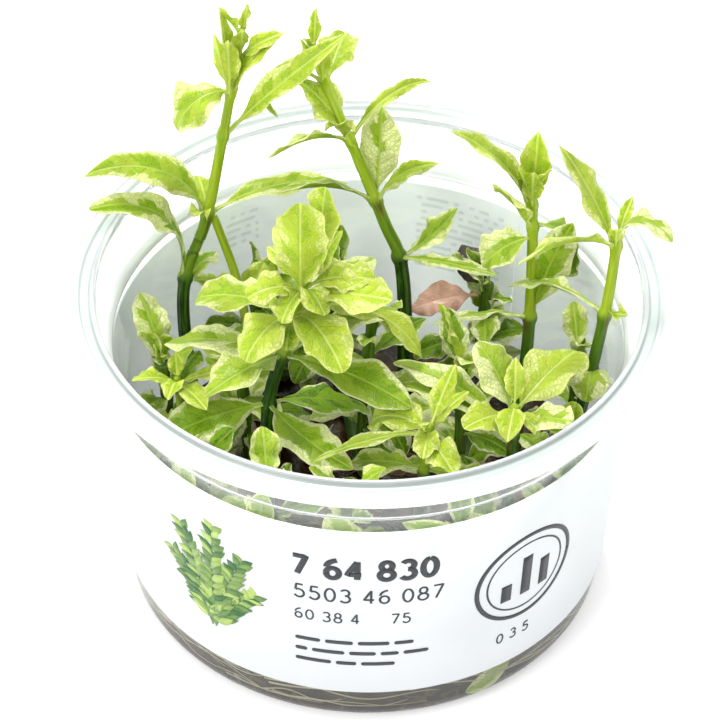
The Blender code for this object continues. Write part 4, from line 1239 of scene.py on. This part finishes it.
seed = 1.0
for name in STEMS:
    skins = [stem_skin(name)]
    for foot, row, look in SMALL_LEAVES.get(name, ()):
        seed += 1.0
        skins.append(leaf_skin(np.array(foot), row, LOOKS[look], seed, steps=40, across=13))
    for row, look in TIP_LEAVES[name]:
        middle, radius = stem_place(name, row[0])
        seed += 1.0
        foot = leaf_foot(middle, radius, row[1], -0.6 * radius)
        skins.append(leaf_skin(foot, row[1:], LOOKS[look], seed, steps=44, across=13))
    make_piece(name + "_shoot", skins, [stem, leaf], name)
    for leaf_name, (row, look) in LEAVES.get(name, {}).items():
        middle, radius = stem_place(name, row[0])
        seed += 1.0
        foot = leaf_foot(middle, radius, row[1], -0.2)
        blade_skin = leaf_skin(foot, row[1:], LOOKS[look], seed, slot=0)
        make_piece(leaf_name + "_blade", [blade_skin], [leaf], leaf_name)
print("leaves and tip leaves:", int(seed) - 1)

# %% [markdown]
# ## The low mat
# Under the tall shoots grows a mat of small plantlets: a creeping stem with
# upright branches, and pairs of leaves that cross each other going up. The
# construction's clumps hold the larger pairs; smaller leaves are added between
# them, in the same form and no longer than their neighbours.

# %% Grow the clumps
CLUMPS = {
    "clump_left": ((-21, 6, 38, 200, 1, 30, 14, 7), (-34, 3, 41, 180, 1, 150, 12, 6.5)),
    "clump_back_left": ((-20, 29, 37, 120, 1, 10, 13, 6.5), (-7, 32, 35, 90, 1, 60, 13, 6.5),
                        (-1, 8, 49, 330, 2, 124, 14, 7)),
    "clump_back_right": ((20, 28, 37, 60, 2, 0, 13, 6), (16, -6, 48, 100, 2, 111, 14, 7)),
    "clump_right": ((33.5, -16, 44, 300, 1, 50, 12, 6.5), (36, 8, 42, 30, 0, 100, 11, 6)),
    "clump_front_left": ((-26, -21, 42, 220, 2, 20, 12, 7), (-15, -28, 46, 240, 2, 100, 12, 7)),
    "clump_front": ((-3, -33, 47, 270, 1, 0, 12, 6.5), (15, -34, 41, 290, 1, 90, 12, 6)),
}
CREEPER_HEIGHT = 12.8
CREEPER_RADIUS = 1.1
BRANCH_RADIUS = 0.9
BRANCH_PAIRS = 2
WALL_CLEARANCE = 2.0
LEAF_SEAT = 0.9
PAIR_LOOKS = ("deep", "green", "fresh")
LOW_LOOKS = ("deep", "green", "half_cream", "green_long", "deep", "cream")
ADDED_PAIRS = ((0.28, 0, 0.75), (0.40, 1, 0.8), (0.62, 0.45, 0.72), (0.88, 1.5, 0.55))


def branch_line(branch, t):
    """Points up a branch: it leans as the square of the way up."""
    x, y, height, lean_heading, lean = branch[:5]
    head = radians(lean_heading)
    return np.stack([x + lean * cos(head) * t**2, y + lean * sin(head) * t**2,
                     CREEPER_HEIGHT + (height - CREEPER_HEIGHT) * t], -1)


def room_to_wall(place, heading):
    """Distance in mm from a place to the cup's wall along a heading."""
    reach = wall_radius(place[2]) - WALL - WALL_CLEARANCE
    way = np.array([cos(radians(heading)), sin(radians(heading))])
    along = place[:2] @ way
    return -along + np.sqrt(max(0.0, along**2 - place[:2] @ place[:2] + reach**2))


def pair_rows(branch, t, pair, size):
    """Foot and row of the two leaves of a pair at share t up the branch."""
    first, length, width = branch[5:]
    place = branch_line(branch, np.array(t))
    for way in (0, 180):
        heading = first + 90 * pair + way
        room = room_to_wall(place, heading)
        crowded = room < 0.9 * length * size
        reach = min(length * size, 1.2 * room) if crowded else length * size
        rise = 12 + 26 * pair + (40 if crowded else 0)
        foot = leaf_foot(place - (0, 0, LEAF_SEAT), BRANCH_RADIUS, heading, -0.6 * BRANCH_RADIUS)
        yield foot, (heading, rise, 60 - 16 * pair, 0, reach, width * size, 0)


for name, branches in CLUMPS.items():
    feet = np.array([(x, y, CREEPER_HEIGHT) for x, y, *_ in branches], float)
    end = 1.5 * (feet[-1] - feet[0]) / np.linalg.norm(feet[-1] - feet[0])
    creeper = smooth_route([feet[0] - end, *feet, feet[-1] + end], 60)
    run = np.arange(len(creeper)) * 0.4
    skins = [skin(tube_rings(creeper, CREEPER_RADIUS + 0 * run, 12), bark(run, 12), (0.0, 0.2, 0.7))]
    for number, branch in enumerate(branches):
        line = branch_line(branch, np.linspace(0, 1, 50))
        bell = 1 + 0.3 * np.exp(-(((np.linspace(0, 1, 50)[:, None] - [0.5, 0.75, 0.98]) * 18) ** 2)).sum(1)
        skins.append(skin(tube_rings(line, BRANCH_RADIUS * bell, 12), bark(line[:, 2], 12), (0.1, 0.1, 0.7)))
        for pair in range(BRANCH_PAIRS + 1):
            t = 0.5 + 0.5 * pair / BRANCH_PAIRS
            for foot, row in pair_rows(branch, t, pair, 1 - 0.12 * pair):
                seed += 1.0
                look = PAIR_LOOKS[pair] if int(seed) % 3 else LOW_LOOKS[int(seed) % 6]
                skins.append(leaf_skin(foot, row, LOOKS[look], seed, steps=40, across=13))
        for t, pair, size in ADDED_PAIRS:
            for foot, row in pair_rows(branch, t, pair, size):
                seed += 1.0
                skins.append(leaf_skin(foot, row, LOOKS[LOW_LOOKS[int(seed) % 6]], seed, steps=32, across=11))
    make_piece(name + "_plantlet", skins, [stem, leaf], name)
print("low leaves so far:", int(seed))

# %% [markdown]
# ## Gel and roots
# The gel fills the cup's foot. Its top is uneven and dark with root hairs, and
# its side shows through the clear foot of the cup. Pale roots lie against the
# wall, and darker ones lie on top.

# %% Pour the gel
GEL_TOP = 11.0
GEL_MEETS_WALL = 12.2
SEEN_THROUGH = 0.3
LUMP_HEIGHT = 0.55
LUMP_RATE = 0.5


def lumps(x, y):
    """A sum of twelve sine waves in random directions, about LUMP_HEIGHT high."""
    draw = np.random.default_rng(4)
    turns_round, phases = draw.uniform(0, 2 * pi, 12), draw.uniform(0, 2 * pi, 12)
    rates = LUMP_RATE * draw.uniform(0.6, 1.8, 12)
    waves = [np.sin(r * (x * cos(a) + y * sin(a)) + p) for r, a, p in zip(rates, turns_round, phases)]
    return LUMP_HEIGHT * np.sum(waves, 0) / 4


def gel_radius(z):
    """The gel wets the wall, so its colour reaches into the plastic."""
    return wall_radius(z) - SEEN_THROUGH


foot_reach = WALL_FOOT - SEEN_THROUGH
gel_foot = [(FLAT_RADIUS + foot_reach * cos(a), WALL_FOOT + foot_reach * sin(a)) for a in foot_turns]
gel_side = [(20.0, SEEN_THROUGH), (FLAT_RADIUS, SEEN_THROUGH), *gel_foot, (gel_radius(8.0), 8.0),
            (gel_radius(GEL_MEETS_WALL), GEL_MEETS_WALL), (gel_radius(GEL_MEETS_WALL) - 1.2, GEL_MEETS_WALL + 0.2),
            (39.4, GEL_TOP + 0.8)]
gel_top = [(r, GEL_TOP) for r in np.linspace(37.4, 1.0, 60)]
gel_rings = turn(rounded(gel_side, 0.25, 4).tolist() + gel_top, 192)
flat = gel_rings[:, :, 2] == GEL_TOP
gel_rings[:, :, 2] += np.where(flat, lumps(gel_rings[..., 0], gel_rings[..., 1]), 0.0)
on_top = (np.arange(len(gel_rings) - 1) >= len(gel_rings) - len(gel_top) - 2).astype(int)
gel_skin = skin(gel_rings, np.zeros(3), slot=on_top)
make_piece("gel_block", [gel_skin], [gel_side_skin, gel], "culture_gel")

# %% Lay the roots
WALL_ROOTS = 46
TOP_ROOTS = 70
TOP_REACH = 37.0

draw = np.random.default_rng(21)
root_skins = []
for number in range(WALL_ROOTS):
    start, run = draw.uniform(0, 360), draw.uniform(25, 70)
    z0, z1 = draw.uniform(3.5, 9.5, 2)
    t = np.linspace(0, 1, 40)
    z = z0 + (z1 - z0) * t + draw.uniform(0.3, 1.2) * np.sin(draw.uniform(4, 12) * t + number)
    z = np.clip(z, 4.3, 11.4)
    a = np.radians(start + run * t)
    r = gel_radius(z) + 0.02
    line = np.stack([r * np.cos(a), r * np.sin(a), z], 1)
    rings = tube_rings(line, draw.uniform(0.14, 0.26) * (1 - 0.6 * t), 8)
    root_skins.append(skin(rings, np.zeros(3), (1.0, 0, 0)))
for number in range(TOP_ROOTS):
    r, a = 36 * np.sqrt(draw.uniform()), draw.uniform(0, 2 * pi)
    heading = draw.uniform(0, 2 * pi)
    t = np.linspace(0, 1, 26)
    bend = heading + draw.uniform(-2.5, 2.5) * t + 0.7 * np.sin(draw.uniform(4, 9) * t)
    way = np.stack([np.cos(bend), np.sin(bend)], 1) * draw.uniform(8, 20) / 25
    flat_line = np.array([r * cos(a), r * sin(a)]) + np.cumsum(way, 0)
    flat_line = flat_line * np.minimum(1, TOP_REACH / np.linalg.norm(flat_line, axis=1))[:, None]
    z = GEL_TOP + 0.5 + lumps(flat_line[:, 0], flat_line[:, 1]) + draw.uniform(0.5, 3.5) * np.sin(pi * t)
    line = np.column_stack([flat_line, z])
    pale = float(number % 3 == 0)
    rings = tube_rings(line, draw.uniform(0.15, 0.35) * (1 - 0.5 * t), 8)
    root_skins.append(skin(rings, np.zeros(3), (pale, 0, 0)))
make_piece("roots", root_skins, [root_skin])
print("roots:", len(root_skins))

# %% [markdown]
# ## Leaves against the wall
# Some leaves are pressed flat against the inside of the cup. They are seen
# through the clear band above the label and through the clear foot below it.
# Such a leaf is drawn on the wall's unrolled surface, and bent round with it.

# %% Press leaves on the wall
def pressed_leaf(azimuth, z, angle, length, width, look, seed_value, off):
    """A thin leaf on the wall: (s, c) goes to (round the wall, up the wall)."""
    young, cream, dark, mottle = look[:4]
    s = np.linspace(0, 1, 36)
    c = np.sin(0.5 * pi * np.linspace(-1, 1, 11))
    c = np.concatenate([c, c[-2:0:-1]])
    upper = np.concatenate([np.ones(11), -np.ones(9)])
    half = np.maximum(0.5 * width * np.sin(pi * s**0.95) ** 0.75, 0.08)[:, None]
    x, w = (s * length)[:, None] + 0 * c, c * half
    head = radians(angle) + 0.25 * s[:, None]
    round_wall, up_wall = x * np.cos(head) - w * np.sin(head), x * np.sin(head) + w * np.cos(head)
    heights = z + up_wall
    depth = off + 0.09 * upper * (1 - c**4)
    rings = on_wall(azimuth + np.degrees(round_wall / LABEL_RADIUS), heights, depth - WALL)
    return skin(rings, np.stack([x, w, np.abs(c) + 0 * w], 2), (young, cream, dark), seed_value, 0, mottle)


PRESSED = (
    (-65, 3.8, 12, 10, 5.2, "half_cream", 0.66), (-58, 9.0, 150, 8, 3.6, "green", 0.66),
    (-93, 41.5, 96, 10.5, 6.5, "half_cream", -0.5), (-116, 43.0, 60, 11, 5.0, "green", -0.5),
    (-70, 43.0, 130, 11, 4.6, "green_long", -0.5), (-134, 43.5, 75, 10, 5.0, "half_cream", -0.5),
)
pressed = [pressed_leaf(a, z, angle, length, width, LOOKS[look], 400.0 + number, off)
           for number, (a, z, angle, length, width, look, off) in enumerate(PRESSED)]
make_piece("pressed_leaves", pressed, [leaf])
print("pressed leaves:", len(pressed))

# %% [markdown]
# ## Small shoots
# A thin stem stands behind the left shoot. Eleven small leaves are added on it,
# beside the other stems and between the plantlets.

# %% Add the small shoots
THIN_STEM = ((-20.5, 22, 11.4), (-21.5, 23, 30), (-23.4, 24, 42.2), (-26.4, 25, 52.6), (-27.2, 25.4, 55.0))
THIN_LEAVES = (
    ((-21.8, 23.4, 36.0), (42, 70, 20, 0, 9, 5.0, 40), "lime"),
    ((-22.2, 23.0, 38.0), (160, 40, 60, 0, 10, 5.0, 0), "fresh"),
    ((-31.9, 21.9, 43.0), (50, 40, 50, 0, 8, 5.0, 0), "half_cream"),
    ((-20.4, 29.8, 36.6), (330, 34, 50, 0, 12, 6.0, 0), "green"),
    ((-7.0, 32.0, 34.8), (43, 82, 10, 0, 12, 4.6, 30), "deep"),
    ((20.0, 28.2, 36.6), (146, 74, 16, 0, 9, 4.0, 20), "deep"),
    ((10.0, -22.9, 50.5), (196, 14, 40, 0, 20, 3.0, 0), "fresh_long"),
    ((15.7, -4.8, 47.8), (152, 80, 20, 0, 14, 4.2, 40), "lime"),
    ((-0.1, 7.0, 48.8), (333, 20, 40, 0, 8, 2.8, 0), "lime"),
    ((-35.0, 3.0, 40.8), (120, 66, 36, 0, 13, 6.0, 0), "half_cream"),
    ((-35.0, 2.8, 40.6), (190, 78, 20, 0, 9, 5.0, 30), "fresh"),
)
thin_line = smooth_route(THIN_STEM, 60)
thin_rings = tube_rings(thin_line, np.linspace(0.85, 0.7, 60), 14)
thin_skins = [skin(thin_rings, bark(thin_line[:, 2], 14), (1.0, 0.0, 0.0))]
for number, (foot, row, look) in enumerate(THIN_LEAVES):
    thin_skins.append(leaf_skin(np.array(foot), row, LOOKS[look], 500.0 + number, steps=40, across=13))
make_piece("small_shoots", thin_skins, [stem, leaf])

# %% [markdown]
# ## Dead leaves
# Two limp leaves, one pink and one brown, hang among the plantlets at the back,
# and ten more lie on the gel. They come from the same leaf function. The first
# two numbers of a row's last group say how pink and how tan the leaf is.

# %% Drop the dead leaves
DEAD_LEAVES = (
    ((19.2, 27.6, 36.2), (188, 4, 26, 6, 12.5, 6.6, -24), (1.0, 0.0, 0.0)),
    ((20.3, 28.6, 36.6), (125, 52, 30, 0, 9, 6.5, 0), (0.0, 0.0, 0.0)),
    ((9, 14, 17.0), (60, 14, 20, 10, 17, 9.5, 0), (1.0, 0.0, 0.0)),
    ((17, 18, 19.5), (40, 8, 14, 0, 13, 8.0, 0), (0.0, 0.0, 0.0)),
    ((13, -2, 16.0), (20, 10, 16, 20, 13, 8.0, 0), (0.0, 1.0, 0.0)),
    ((4, -10, 14.5), (200, 12, 30, 30, 15, 8.0, 0), (0.0, 0.0, 0.0)),
    ((-4, -12, 14.0), (320, 10, 24, 40, 14, 7.0, 10), (0.0, 0.2, 0.0)),
    ((-10, 8, 14.0), (120, 12, 24, 0, 15, 8.0, 0), (0.0, 0.5, 0.0)),
    ((26, -6, 15.0), (300, 12, 24, 0, 14, 8.0, 0), (0.0, 0.6, 0.0)),
    ((-24, -14, 15.0), (80, 12, 24, 0, 14, 8.0, 0), (0.1, 0.4, 0.0)),
    ((0, 24, 14.0), (10, 12, 24, 0, 14, 8.0, 0), (0.4, 0.0, 0.0)),
    ((-20, 18, 15.0), (240, 14, 30, 20, 14, 7.0, 0), (0.0, 0.8, 0.0)),
)
DEAD_SHAPE = (0.0, 6, 0.9, 0.0, 0.6)
dead_skins = []
for number, (foot, row, tint) in enumerate(DEAD_LEAVES):
    look = (*tint, *DEAD_SHAPE)
    dead_skins.append(leaf_skin(np.array(foot, float), row, look, 300.0 + number, steps=40, across=13, slot=0))
make_piece("dead_leaves", dead_skins, [dead])
print("dead leaves:", len(dead_skins))

# %% [markdown]
# ## Floor and light
# The picture was taken in a white light tent: white below, white around, and a
# large soft light above and behind that shines through the leaves. The floor is
# pale and plain, and bright enough to read as white.

# %% Floor, world and lamps
FLOOR_REACH = 2.0
FLOOR_GLOW = 0.30
TENT_STRENGTH = 1.05

floor_mesh = bpy.data.meshes.new("floor")
corners = [(FLOOR_REACH * x, FLOOR_REACH * y, 0) for x, y in ((-1, -1), (1, -1), (1, 1), (-1, 1))]
floor_mesh.from_pydata(corners, [], [(0, 1, 2, 3)])
floor = new_object("floor", floor_mesh)
paper, tree, shader = new_material("white_paper", Roughness=0.9, Specular_IOR_Level=0.1)
fibre = noise(tree, object_place(tree), 40.0, 3.0)
feed(tree, shader.inputs["Base Color"], mix(tree, fibre, (0.93, 0.93, 0.93), (0.96, 0.96, 0.96)))
shader.inputs["Emission Color"].default_value = (1.0, 1.0, 1.0, 1.0)
shader.inputs["Emission Strength"].default_value = FLOOR_GLOW
floor_mesh.materials.append(paper)

world = bpy.data.worlds.new("light_tent")
world.use_nodes = True
sky = world.node_tree.nodes["Background"]
sky.inputs["Color"].default_value = (1.0, 1.0, 1.0, 1.0)
sky.inputs["Strength"].default_value = TENT_STRENGTH
bpy.context.scene.world = world


def soft_lamp(name, place_at, size, power, look_at=(0.0, 0.0, 0.05)):
    """A square area lamp that faces a point."""
    data = bpy.data.lights.new(name, "AREA")
    data.shape = "SQUARE"
    data.size = size
    data.energy = power
    lamp = new_object(name, data)
    z = np.array(place_at, float) - np.array(look_at)
    z /= np.linalg.norm(z)
    x_axis = np.cross([0, 1.0, 0] if abs(z[2]) > 0.9 else [0, 0, 1.0], z)
    x_axis /= np.linalg.norm(x_axis)
    set_axes(lamp, x_axis, np.cross(z, x_axis), z, place_at)


soft_lamp("top_back", (-0.12, 0.40, 0.80), 0.30, 5.0)
soft_lamp("front_fill", (-0.50, -0.55, 0.65), 0.45, 3.5)
bpy.context.scene.view_settings.view_transform = "Standard"
